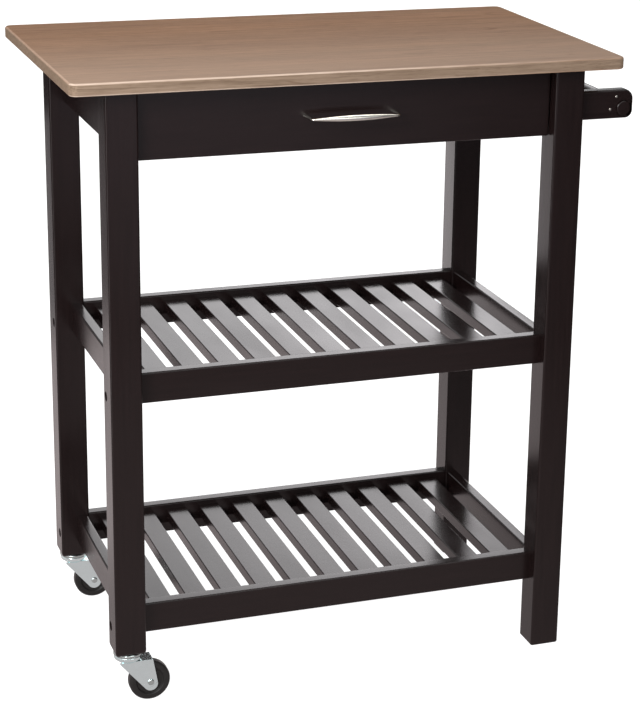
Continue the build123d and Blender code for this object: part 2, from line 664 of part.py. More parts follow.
def build_handle():
    """A bow pull: a strap bent back at each end, deepest at its middle, with two screws."""
    place = Pos(0, DRAWER_FACE_Y, HANDLE_Z)
    half = HANDLE_STRAP / 2
    band = bow_plan(half) - bow_plan(-half)
    strap = extrude(band, amount=HANDLE_MID_H, both=True)
    reach = HANDLE_CENTRES / 2 + HANDLE_STRAP
    low, high = HANDLE_END_H / 2, HANDLE_MID_H / 2
    upper = ThreePointArc((-reach, low), (0, high), (reach, low))
    lower = ThreePointArc((reach, -low), (0, -high), (-reach, -low))
    ends = Line((reach, low), (reach, -low)) + Line((-reach, -low), (-reach, low))
    lens = Plane.XZ * make_face(upper + lower + ends)
    shell = extrude(lens, amount=HANDLE_REACH * 2, both=True)
    strap = strap & shell
    strap = strap - block((-reach, reach), (0, HANDLE_REACH), (-HANDLE_MID_H, HANDLE_MID_H))
    strap = place * strap
    front_y = DRAWER_FACE_Y - HANDLE_REACH + HANDLE_BEND_R
    front = strap.edges().filter_by(lambda e: e.center().Y < front_y)
    strap = fillet(front.filter_by(lambda e: e.length > HANDLE_CENTRES / 2), HANDLE_SOFTEN)
    for side in (-1, 1):
        x = side * HANDLE_CENTRES / 2
        seat = DRAWER_BACK_Y
        length = DRAWER_FRONT_T + HANDLE_SCREW_BITE
        sizes = (HANDLE_SCREW_HEAD_R, HANDLE_SCREW_R)
        add("drawer_screws", screw(seat, -1, length, "y", (x, HANDLE_Z), *sizes))
        hole = rod_y(x, (seat + CUT_PAST, seat - length - HOLE_DEEPER), HANDLE_Z, HANDLE_SCREW_R + WOOD_FIT)
        drill(("drawer_front",), hole)
        strap = strap - hole
    add("drawer_handle", strap)


def build_towel_bar():
    """Two shaped arms on the right legs and a round bar through them."""
    for end_name, end in ENDS.items():
        middle = end * LEG_Y
        y = (middle - ARM_T / 2, middle + ARM_T / 2)
        arm = block((LEG_OUT_X, ARM_TIP_X), y, (ARM_BOTTOM, ARM_BOTTOM + ARM_HEIGHT))
        tip = arm.edges().filter_by(Axis.Y).group_by(Axis.X)[-1].sort_by(Axis.Z)
        arm = fillet(tip[-1], ARM_TOP_R)
        tip = arm.edges().filter_by(Axis.Y).sort_by(Axis.Z)
        tip = [e for e in tip if e.center().X > ARM_TIP_X - ARM_ARRIS]
        arm = fillet(tip[:1], ARM_BOTTOM_R)
        rims = [e for e in arm.edges() if e.center().X > LEG_OUT_X + ARM_ARRIS]
        rims = [e for e in rims if min(abs(e.center().Y - y[0]), abs(e.center().Y - y[1])) < SAME_PLACE]
        arm = fillet(rims, ARM_ARRIS)
        arm -= rod_y(BAR_X, (y[0] - CUT_PAST, y[1] + CUT_PAST), BAR_Z, BAR_R + WOOD_FIT)
        name = f"{end_name}_towel_arm"
        add(name, arm)
        for up in ARM_SCREW_UPS:
            across = (middle, ARM_BOTTOM + up)
            sizes = (ARM_SCREW_HEAD_R, ARM_SCREW_R)
            add("towel_arm_screws", screw(LEG_IN_X, 1, ARM_SCREW_LENGTH, "x", across, *sizes, sunk=True))
            sizes = (ARM_SCREW_HEAD_R + WOOD_FIT, ARM_SCREW_R + WOOD_FIT)
            hole = screw(LEG_IN_X, 1, ARM_SCREW_LENGTH + HOLE_DEEPER, "x", across, *sizes, sunk=True)
            drill((f"{end_name}_right_leg", name), hole)
    reach = LEG_Y + ARM_T / 2 + BAR_PROUD
    bar = rod_y(BAR_X, (-reach, reach), BAR_Z, BAR_R)
    add("towel_bar", fillet(bar.edges(), BAR_EASE))
    face = -LEG_Y - ARM_T / 2
    for out, up in BRADS:
        across = (LEG_OUT_X + out, ARM_BOTTOM + up)
        brad = rod_y(across[0], (face, face + BRAD_LENGTH), across[1], BRAD_R)
        cap = rod_y(across[0], (face - BRAD_HEAD_H, face), across[1], BRAD_HEAD_R)
        cap = fillet(cap.edges().sort_by(Axis.Y)[0], BRAD_HEAD_EASE)
        add("towel_arm_brads", brad + cap)
        run = (face - CUT_PAST, face + BRAD_LENGTH + HOLE_DEEPER)
        hole = rod_y(across[0], run, across[1], BRAD_R + WOOD_FIT)
        drill(("front_towel_arm",), hole)


def caster_stem(x, y):
    """The fixed half of a caster: threaded stem, upper race and kingpin in one turned piece."""
    inner = RACE_R - RACE_SKIRT_T
    pin_end = CROWN_TOP - FORK_T - ROLL_GAP
    outline = [
        (0, pin_end - KINGPIN_HEAD_H),
        (KINGPIN_HEAD_R - KINGPIN_BREAK, pin_end - KINGPIN_HEAD_H),
        (KINGPIN_HEAD_R, pin_end - KINGPIN_BREAK),
        (KINGPIN_HEAD_R, pin_end),
        (KINGPIN_R, pin_end),
        (KINGPIN_R, RACE_UNDER),
        (inner, RACE_UNDER),
        (inner, RACE_UNDER - RACE_SKIRT),
        (RACE_R - RACE_SKIRT_BREAK[0], RACE_UNDER - RACE_SKIRT),
        (RACE_R, RACE_UNDER - RACE_SKIRT + RACE_SKIRT_BREAK[1]),
        (RACE_R, LEG_LIFT - RACE_BREAK),
        (RACE_R - RACE_BREAK, LEG_LIFT),
        (STEM_R, LEG_LIFT),
        (STEM_R, LEG_LIFT + STEM_LENGTH - STEM_BREAK),
        (STEM_R - STEM_BREAK, LEG_LIFT + STEM_LENGTH),
        (0, LEG_LIFT + STEM_LENGTH),
    ]
    track = Pos(x, y, BALL_Z) * Torus(BALL_PITCH_R, BALL_R + BALL_CLEAR)
    return turned(outline, x, y) - track


def caster_balls(x, y):
    """The ring of balls between the two races."""
    step = 360 / BALL_COUNT
    places = [Pos(x, y, BALL_Z) * Rot(0, 0, step * n) * Pos(BALL_PITCH_R, 0, 0) for n in range(BALL_COUNT)]
    return [place * Sphere(BALL_R) for place in places]


def caster_fork(x, y):
    """The swivelling half: a dished crown that runs into two side plates."""
    wheel_x = x + TRAIL
    low = CROWN_TOP - FORK_T
    seat = BALL_Z - BALL_R - BALL_CLEAR
    wall_in = CROWN_RIM_R - CROWN_RIM_WALL
    outline = [
        (KINGPIN_R + RUN_FIT, low),
        (FORK_OUT, low),
        (CROWN_RIM_R - CROWN_BELT_EASE[0], CROWN_BELT - CROWN_BELT_EASE[1]),
        (CROWN_RIM_R, CROWN_BELT),
        (CROWN_RIM_R, CROWN_RIM_TOP - CROWN_RIM_EASE),
        (CROWN_RIM_R - CROWN_RIM_EASE, CROWN_RIM_TOP),
        (wall_in, CROWN_RIM_TOP),
        (wall_in, seat),
        (BALL_PITCH_R - BALL_SEAT_W, seat),
        (FORK_OUT - FORK_T, CROWN_TOP),
        (KINGPIN_R + RUN_FIT, CROWN_TOP),
    ]
    crown = turned(outline, x, y)
    front = x + CROWN_AHEAD
    back = x - CROWN_BEHIND
    tongue = block((x + KINGPIN_R * 2, front), (y - FORK_OUT, y + FORK_OUT), (low, CROWN_TOP))
    lobe_z = WHEEL_R - FORK_LOBE_DROP
    lobe = Pos(wheel_x, lobe_z) * Circle(FORK_LOBE_R)
    corner = Pos((front + back) / 2, (CROWN_TOP + low) / 2) * Rectangle(front - back, FORK_T)
    outline = make_hull(lobe.edges() + corner.edges())
    fork = crown + tongue
    for side in (-1, 1):
        start = y + side * FORK_OUT
        plate = extrude(Plane.XZ * outline, amount=FORK_T)
        lift = start if side < 0 else start - FORK_T
        fork += Pos(0, lift + FORK_T, 0) * plate
    fork -= rod_z(x, y, (low - CUT_PAST, CROWN_TOP + CUT_PAST), KINGPIN_R + RUN_FIT)
    through = (y - FORK_OUT - CUT_PAST, y + FORK_OUT + CUT_PAST)
    fork -= rod_y(wheel_x, through, WHEEL_R, AXLE_R + WOOD_FIT)
    return fork


def caster_wheel(x, y):
    """A hard moulded wheel with rounded shoulders and a hub inside a shallow dish."""
    half = WHEEL_WIDTH / 2
    dish = half - WEB_RECESS
    bore = AXLE_R + RUN_FIT
    outline = [
        (bore, HUB_HALF),
        (HUB_R, HUB_HALF),
        (HUB_R, dish),
        (WEB_R - WEB_SLOPE, dish),
        (WEB_R, half),
        (WHEEL_R, half),
        (WHEEL_R, -half),
        (WEB_R, -half),
        (WEB_R - WEB_SLOPE, -dish),
        (HUB_R, -dish),
        (HUB_R, -HUB_HALF),
        (bore, -HUB_HALF),
    ]
    wheel = turned(outline)
    rims = [e for e in wheel.edges().filter_by(GeomType.CIRCLE) if abs(e.radius - WHEEL_R) < SAME_PLACE]
    wheel = fillet(rims, WHEEL_SHOULDER)
    return Pos(x, y, WHEEL_R) * Rot(90, 0, 0) * wheel


def caster_axle(x, y):
    """A rivet through the fork, with a domed head at each end."""
    axle = rod_y(x, (y - FORK_OUT, y + FORK_OUT), WHEEL_R, AXLE_R)
    for side in (-1, 1):
        start = y + side * FORK_OUT
        head = rod_y(x, (start, start + side * AXLE_HEAD_H), WHEEL_R, AXLE_HEAD_R)
        rim = head.edges().filter_by(GeomType.CIRCLE).sort_by(Axis.Y)
        rim = rim[0] if side < 0 else rim[-1]
        axle += fillet(rim, AXLE_HEAD_EASE)
    return axle


def build_casters():
    """A stem caster under each left leg, with a sleeve in the leg for its stem."""
    x = -LEG_X
    for end_name, end in ENDS.items():
        y = end * LEG_Y
        wheel_x = x + TRAIL
        insert = rod_z(x, y, (LEG_LIFT, LEG_LIFT + INSERT_LENGTH), INSERT_R)
        stem_top = LEG_LIFT + STEM_LENGTH + HOLE_DEEPER
        stem_hole = rod_z(x, y, (LEG_LIFT - CUT_PAST, stem_top), STEM_R + WOOD_FIT)
        insert_hole = rod_z(x, y, (LEG_LIFT - CUT_PAST, LEG_LIFT + INSERT_LENGTH), INSERT_R + WOOD_FIT)
        drill((f"{end_name}_left_leg",), stem_hole + insert_hole)
        add("caster_inserts", insert - stem_hole)
        add(f"{end_name}_caster_stem", caster_stem(x, y), *caster_balls(x, y))
        add(f"{end_name}_caster_fork", caster_fork(x, y))
        add(f"{end_name}_caster_wheel", caster_wheel(wheel_x, y))
        add(f"{end_name}_caster_axle", caster_axle(wheel_x, y))


def write_pieces():
    """Move each piece to the shared origin and write its file."""
    os.makedirs("parts", exist_ok=True)
    for name, solids in pieces.items():
        moved = [Pos(-ORIGIN_X, 0, 0) * solid for solid in solids]
        shape = moved[0] if len(moved) == 1 else Compound(children=moved)
        export_step(shape, f"parts/{name}.step")
    print(len(pieces), "pieces, origin at x =", ORIGIN_X)


add("worktop", worktop())
build_legs()
for shelf_level in SHELF_TOPS:
    build_shelf(shelf_level)
build_aprons()
build_top_fixings()
build_drawer()
build_slides()
build_handle()
build_towel_bar()
build_casters()
write_pieces()
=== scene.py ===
# %% [markdown]
# # A kitchen trolley
# The trolley has a stained wooden top, a dark lacquered frame, two slatted shelves, one drawer, a towel bar
# and two casters. The construction model comes in first, as the frame. It already says where every piece is
# and how big it is, so this lesson reads its sizes from the frame and only makes the pieces look right.

# %% Load the frame
import json
import math

import bpy
from mathutils import Matrix, Vector


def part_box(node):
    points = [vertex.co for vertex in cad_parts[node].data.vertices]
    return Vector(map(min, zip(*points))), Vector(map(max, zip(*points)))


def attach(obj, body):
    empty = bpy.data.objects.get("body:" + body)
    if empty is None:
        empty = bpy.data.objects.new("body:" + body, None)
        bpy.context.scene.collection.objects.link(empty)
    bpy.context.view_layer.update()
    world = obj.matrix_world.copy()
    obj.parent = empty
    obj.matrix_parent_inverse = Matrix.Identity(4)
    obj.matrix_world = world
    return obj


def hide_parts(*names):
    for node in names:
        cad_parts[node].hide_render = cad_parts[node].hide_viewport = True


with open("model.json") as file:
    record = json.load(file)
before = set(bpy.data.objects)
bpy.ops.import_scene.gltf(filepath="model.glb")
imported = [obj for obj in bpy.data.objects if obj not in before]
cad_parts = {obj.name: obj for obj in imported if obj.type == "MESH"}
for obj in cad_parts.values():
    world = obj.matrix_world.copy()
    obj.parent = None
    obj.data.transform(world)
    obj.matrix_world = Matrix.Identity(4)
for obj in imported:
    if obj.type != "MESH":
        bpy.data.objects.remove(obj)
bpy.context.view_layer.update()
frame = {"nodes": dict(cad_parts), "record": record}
bpy.ops.object.select_all(action="DESELECT")

# %% [markdown]
# ## Colour and camera
# A product photo on white shows colours as they are, so the plain Standard view is used, which doesn't roll
# off the white of the floor. The camera stands in front and to the left, a little above the top, and looks
# down at the trolley with a long lens, so that upright legs stay nearly upright.

# %% Set the view and the camera
MM = 0.001
PHOTO_WIDTH = 640
PHOTO_HEIGHT = 706
SENSOR_MM = 36.0
LENS_MM = 107.167
PICTURE_CENTRE = (394.217, 326.181)
CAMERA_PLACE = Vector((-964.79, -2864.66, 1453.8)) * MM
LOOK_AZIMUTH = 20.854
LOOK_DOWN = 17.815
CAMERA_ROLL = 1.310

scene = bpy.context.scene
scene.view_settings.view_transform = "Standard"
scene.view_settings.look = "None"
scene.view_settings.exposure = 0.0
scene.view_settings.gamma = 1.0

camera_data = bpy.data.cameras.new("photo_camera")
camera_data.sensor_fit = "AUTO"
camera_data.sensor_width = SENSOR_MM
camera_data.lens = LENS_MM
camera_data.shift_x = (PHOTO_WIDTH / 2 - PICTURE_CENTRE[0]) / PHOTO_HEIGHT
camera_data.shift_y = (PICTURE_CENTRE[1] - PHOTO_HEIGHT / 2) / PHOTO_HEIGHT
camera = bpy.data.objects.new("photo_camera", camera_data)
scene.collection.objects.link(camera)
turn = math.radians(LOOK_AZIMUTH)
down = math.radians(LOOK_DOWN)
look = Vector((math.sin(turn) * math.cos(down), math.cos(turn) * math.cos(down), -math.sin(down)))
level = Vector((math.cos(turn), -math.sin(turn), 0.0))
upward = level.cross(look)
roll = math.radians(CAMERA_ROLL)
right = level * math.cos(roll) + upward * math.sin(roll)
upward = right.cross(look)
camera.matrix_world = Matrix.Translation(CAMERA_PLACE) @ Matrix((right, upward, -look)).transposed().to_4x4()
scene.camera = camera
print("camera at", [round(v, 3) for v in CAMERA_PLACE], "shift", camera_data.shift_x, camera_data.shift_y)

# %% [markdown]
# ## Small tools for the bench
# Every wooden piece starts as a block that fills the space its frame node has. An operator works on
# whatever is selected, so each tool first clears the selection and then picks what it needs by its place.
# X, Y and Z name the axes.

# %% Tools for picking and for making blocks
X, Y, Z = range(3)


def pick(piece):
    """Select one object alone and make it the active one."""
    bpy.ops.object.select_all(action="DESELECT")
    piece.select_set(True)
    bpy.context.view_layer.objects.active = piece


def block(name, low, high):
    """Add a block between two corners, with its place kept in its mesh."""
    low = Vector(low)
    high = Vector(high)
    bpy.ops.object.select_all(action="DESELECT")
    bpy.ops.mesh.primitive_cube_add(size=1, location=(low + high) / 2, scale=high - low)
    bpy.ops.object.transform_apply(location=True, rotation=True, scale=True)
    piece = bpy.context.object
    piece.name = name
    return piece


def choose_edges(piece, wanted):
    """Leave only those edges selected whose two end points pass a test."""
    bpy.context.tool_settings.mesh_select_mode = (False, True, False)
    pick(piece)
    mesh = piece.data
    for face in mesh.polygons:
        face.select = False
    for point in mesh.vertices:
        point.select = False
    for edge in mesh.edges:
        ends = [mesh.vertices[index].co for index in edge.vertices]
        edge.select = wanted(*ends)


print("tools for picking and for blocks")

# %% [markdown]
# ## Eased edges
# A machine rounds every long edge of the real timber by two or three millimetres, and that small round is
# what catches the light. A bevel with a few segments gives it. Weighted normals then keep the wide faces
# flat and let only the rounds look smooth.

# %% Tools for easing edges and for smooth shading
NEAR = 0.00002
ROUND_PROFILE = 0.5
EASE_SEGMENTS = 4
SMOOTH_ANGLE = math.radians(40)


def along(axis):
    """A test for edges that run along one axis."""
    others = [n for n in (X, Y, Z) if n != axis]
    return lambda a, b: all(abs(a[n] - b[n]) < NEAR for n in others)


def at_height(axis, value):
    """A test for edges that lie in a plane across one axis."""
    return lambda a, b: abs(a[axis] - value) < NEAR and abs(b[axis] - value) < NEAR


def ease(piece, wanted, radius, segments=EASE_SEGMENTS):
    """Round the chosen edges."""
    choose_edges(piece, wanted)
    bpy.ops.object.mode_set(mode="EDIT")
    bpy.ops.mesh.bevel(offset=radius, segments=segments, profile=ROUND_PROFILE, affect="EDGES")
    bpy.ops.object.mode_set(mode="OBJECT")


def smooth(piece, angle=SMOOTH_ANGLE):
    """Smooth the rounds and keep the wide faces flat."""
    pick(piece)
    bpy.ops.object.shade_smooth_by_angle(angle=angle)
    modifier = piece.modifiers.new("flat faces", "WEIGHTED_NORMAL")
    modifier.keep_sharp = True
    bpy.ops.object.modifier_apply(modifier=modifier.name)


print("tools for easing and smoothing")

# %% Tools for round bars and holes
CUTTER_SIDES = 48


def cylinder(name, centre, axis, radius, length, vertices=CUTTER_SIDES):
    """Add a round bar or a cutter along one axis."""
    bpy.ops.object.select_all(action="DESELECT")
    turns = {X: (0, math.pi / 2, 0), Y: (math.pi / 2, 0, 0), Z: (0, 0, 0)}
    bpy.ops.mesh.primitive_cylinder_add(
        vertices=vertices, radius=radius, depth=length, location=centre, rotation=turns[axis]
    )
    bpy.ops.object.transform_apply(location=True, rotation=True, scale=True)
    piece = bpy.context.object
    piece.name = name
    return piece


def bore(piece, centre, axis, radius, length):
    """Cut a round hole, and take the cutter away."""
    cutter = cylinder("cutter", centre, axis, radius, length)
    pick(piece)
    modifier = piece.modifiers.new("hole", "BOOLEAN")
    modifier.operation = "DIFFERENCE"
    modifier.solver = "EXACT"
    modifier.object = cutter
    bpy.ops.object.modifier_apply(modifier=modifier.name)
    bpy.data.objects.remove(cutter)


print("tools for round bars and holes")

# %% [markdown]
# ## Finishes
# A finish is a small tree of nodes. These helpers add a node, join two sockets and stretch a pattern along
# the grain, so that each finish below reads as a short recipe. A pattern's scale is given as repeats a
# metre on each axis, so few repeats make long streaks.

# %% Tools for a finish and its patterns
def new_finish(name):
    """A material with its tree cleared down to the shader and the output."""
    material = bpy.data.materials.new(name)
    material.use_nodes = True
    return material, material.node_tree, material.node_tree.nodes["Principled BSDF"]


def node(tree, kind, **settings):
    """Add a node and set its properties, or its inputs where the name is one."""
    made = tree.nodes.new(kind)
    for key, value in settings.items():
        if key in made.inputs:
            made.inputs[key].default_value = value
        else:
            setattr(made, key, value)
    return made


def stretched(tree, scale, offset=(0.0, 0.0, 0.0)):
    """Object coordinates, scaled by so many repeats a metre along each axis."""
    place = node(tree, "ShaderNodeTexCoord")
    mapping = node(tree, "ShaderNodeMapping", Scale=scale, Location=offset)
    tree.links.new(place.outputs["Object"], mapping.inputs["Vector"])
    return mapping.outputs["Vector"]


def noise(tree, vector, detail=3.0, roughness=0.55, distortion=0.0):
    """Soft noise on stretched coordinates."""
    made = node(
        tree, "ShaderNodeTexNoise", Scale=1.0, Detail=detail, Roughness=roughness, Distortion=distortion
    )
    tree.links.new(vector, made.inputs["Vector"])
    return made.outputs["Fac"]


print("tools for a finish and its patterns")

# %% [markdown]
# A pattern is only a value from place to place. A ramp turns it into colours, and a range turns it into a
# roughness. Noise seldom leaves the middle of its scale, so that middle is what a range starts from.

# %% Tools for colours and values
NOISE_RANGE = (0.3, 0.7)


def feed(tree, socket, value):
    """Give a socket a number, a colour or another socket."""
    if isinstance(value, bpy.types.NodeSocket):
        tree.links.new(value, socket)
    elif isinstance(value, tuple):
        socket.default_value = (*value, 1.0)
    else:
        socket.default_value = value


def ramp(tree, value, stops):
    """Turn a value into colours, by a list of (place, colour)."""
    made = node(tree, "ShaderNodeValToRGB")
    elements = made.color_ramp.elements
    while len(elements) < len(stops):
        elements.new(0.5)
    for element, (place, colour) in zip(elements, stops):
        element.position = place
        element.color = (*colour, 1.0)
    tree.links.new(value, made.inputs["Fac"])
    return made.outputs["Color"]


def mixed(tree, factor, first, second, blend="MIX"):
    """Mix two colours, which sit at inputs 6 and 7 and output 2 of the node."""
    made = node(tree, "ShaderNodeMix", data_type="RGBA", blend_type=blend)
    for number, value in ((0, factor), (6, first), (7, second)):
        feed(tree, made.inputs[number], value)
    return made.outputs[2]


def times(tree, first, second):
    """Multiply two values."""
    made = node(tree, "ShaderNodeMath", operation="MULTIPLY")
    for socket, value in zip(made.inputs, (first, second)):
        feed(tree, socket, value)
    return made.outputs["Value"]


def plus(tree, first, second, factor):
    """Add the second value, times a factor, to the first."""
    made = node(tree, "ShaderNodeMath", operation="MULTIPLY_ADD")
    tree.links.new(second, made.inputs[0])
    made.inputs[1].default_value = factor
    tree.links.new(first, made.inputs[2])
    return made.outputs["Value"]


def gate(tree, value, limits, levels=(0.0, 1.0), step="SMOOTHSTEP"):
    """A soft step of a value between two limits, from one level to another."""
    made = node(tree, "ShaderNodeMapRange", interpolation_type=step)
    for name, number in zip(("From Min", "From Max", "To Min", "To Max"), (*limits, *levels)):
        made.inputs[name].default_value = number
    tree.links.new(value, made.inputs["Value"])
    return made.outputs["Result"]


def spread(tree, value, levels, limits=NOISE_RANGE):
    """Bring a value into another range, in a straight line."""
    return gate(tree, value, limits, levels, "LINEAR")


print("tools for colours and values")

# %% [markdown]
# Relief gives a surface its skin. It is a pattern with a depth in metres and a strength, and one relief can
# lie on top of another.

# %% Tool for relief
def bumped(tree, shader, height, relief, after=None):
    """Give the surface relief from a height pattern."""
    distance, strength = relief
    made = node(tree, "ShaderNodeBump", Strength=strength, Distance=distance)
    tree.links.new(height, made.inputs["Height"])
    if after is not None:
        tree.links.new(after, made.inputs["Normal"])
    tree.links.new(made.outputs["Normal"], shader.inputs["Normal"])
    return made.outputs["Normal"]


print("tool for relief")

# %% [markdown]
# ## The dark lacquer
# The frame is stained nearly black with a trace of red-brown and sprayed with a semi-gloss lacquer. The
# lacquer is thin, so a faint grain stays in it, and sprayed lacquer is never quite flat: its skin is
# slightly wavy, which blurs what it mirrors. The grain has to run along each piece, so the finish is made
# once for each direction.

# %% Lacquered wood for three grain directions
LACQUER_DARK = (0.0058, 0.0030, 0.0029)
LACQUER_LIGHT = (0.0086, 0.0045, 0.0044)
LACQUER_IOR = 1.36
LACQUER_ROUGHNESS = (0.20, 0.27)
GRAIN_REPEATS = (9, 330)
PORE_REPEATS = (60, 2600)
CLOUD_REPEATS = (5, 14)
CLOUD_PLACE = (3.1, 1.7, 0.4)
SKIN_REPEATS = (95, 95, 95)
SKIN_RELIEF = (0.0002, 0.20)
GRAIN_RELIEF = (0.00004, 0.25)
PORE_RELIEF = (0.00002, 0.25)


def along_grain(axis, lengthways, across):
    """Repeats a metre on each axis, few along the grain and many across it."""
    return tuple(lengthways if n == axis else across for n in (X, Y, Z))


def lacquered_wood(axis):
    """Semi-gloss dark lacquer with faint grain along one axis."""
    material, tree, shader = new_finish("lacquered_wood_" + "xyz"[axis])
    grain = noise(tree, stretched(tree, along_grain(axis, *GRAIN_REPEATS)), detail=5)
    pores = noise(tree, stretched(tree, along_grain(axis, *PORE_REPEATS)), detail=2)
    cloud = noise(tree, stretched(tree, along_grain(axis, *CLOUD_REPEATS), CLOUD_PLACE), detail=2)
    skin = noise(tree, stretched(tree, SKIN_REPEATS), detail=1)
    colour = ramp(tree, grain, [(0.30, LACQUER_DARK), (0.72, LACQUER_LIGHT)])
    tree.links.new(colour, shader.inputs["Base Color"])
    tree.links.new(spread(tree, cloud, LACQUER_ROUGHNESS), shader.inputs["Roughness"])
    shader.inputs["IOR"].default_value = LACQUER_IOR
    waves = bumped(tree, shader, skin, SKIN_RELIEF)
    lines = bumped(tree, shader, grain, GRAIN_RELIEF, after=waves)
    bumped(tree, shader, pores, PORE_RELIEF, after=lines)
    return material


LACQUER = [lacquered_wood(axis) for axis in (X, Y, Z)]
print([material.name for material in LACQUER])

# %% [markdown]
# ## The stained top
# The top is a light wood with a grey-brown stain under a satin finish. Its grain runs the long way. What
# the eye sees is three things on different scales: broad soft bands where the strips of wood differ,
# streaks a hand long, and fine short pores. A few small dark figures break it up. Light and shade are
# also painted into its colour: a painted highlight along its rounded front edge, a painted whitish sheen
# towards the front, and painted shade that makes the edges that stand upright darker and greyer.

# %% Colours and patterns of the top
TOP_LIGHT = (0.270, 0.160, 0.101)
TOP_MIDDLE = (0.217, 0.127, 0.079)
TOP_DARK = (0.146, 0.082, 0.049)
# Painted highlight along the rounded front edge of the top, fading towards the right.
TOP_EDGE_HIGHLIGHT = (0.440, 0.345, 0.280)
TOP_IOR = 1.05
HIGHLIGHT_ROUND = ((0.22, 0.55), (0.92, 0.995))
HIGHLIGHT_FRONT = ((-0.35, -0.05), (1.0, 0.30))
HIGHLIGHT_ALONG = ((-0.10, 0.38), (1.0, 0.15))
# Painted sheen: the top face grows whiter towards its front.
TOP_FRONT_SHEEN = (0.360, 0.290, 0.235)
SHEEN_FRONT = ((-0.24, 0.17), (0.36, 0.0))
SHEEN_UP = (0.50, 0.95)
# Painted shade: the upright edges are darker and cooler than the top face.
UPRIGHT_SHADE_TINT = (0.76, 0.93, 1.08)
UPRIGHT_SHADE_LIMITS = (0.25, 0.70)
TOP_ROUGHNESS = (0.52, 0.64)
WHITE = (1.0, 1.0, 1.0)
SWAY_REPEATS = (2.2, 5.0, 5.0)
SWAY_ACROSS = (0.0, 0.022, 0.022)
BAND_REPEATS = (1.3, 11, 11)
BAND_PLACE = (0.0, 4.0, 0.0)
BAND_WARMTH = [(0.32, (0.93, 0.91, 0.90)), (0.50, WHITE), (0.68, (1.07, 1.05, 1.03))]
STREAK_REPEATS = (5, 210, 210)
STREAK_COLOURS = [(0.30, TOP_DARK), (0.50, TOP_MIDDLE), (0.72, TOP_LIGHT)]
FIBRE_REPEATS = (24, 820, 820)
FIBRE_SHADE = [(0.32, (0.82, 0.80, 0.78)), (0.58, (1.05, 1.05, 1.05))]
FIBRE_RELIEF = (0.00012, 0.5)
# How far the fibres break up the painted highlight on the front edge.
HIGHLIGHT_FIBRE_BREAKUP = ((0.45, 1.0), (0.3, 0.6))
DASH_REPEATS = (55, 1900, 1900)
DASH_SHADE = [(0.30, (0.60, 0.55, 0.52)), (0.42, WHITE)]
DASH_SHARE = 0.7
DASH_RELIEF = (0.00008, 0.5)
FIGURE_REPEATS = (11, 60, 60)
FIGURE_PLACE = (1.3, 2.2, 0.0)
FIGURE_SHADE = [(0.64, WHITE), (0.76, (0.66, 0.60, 0.56))]
print("top colours", TOP_DARK, TOP_MIDDLE, TOP_LIGHT)

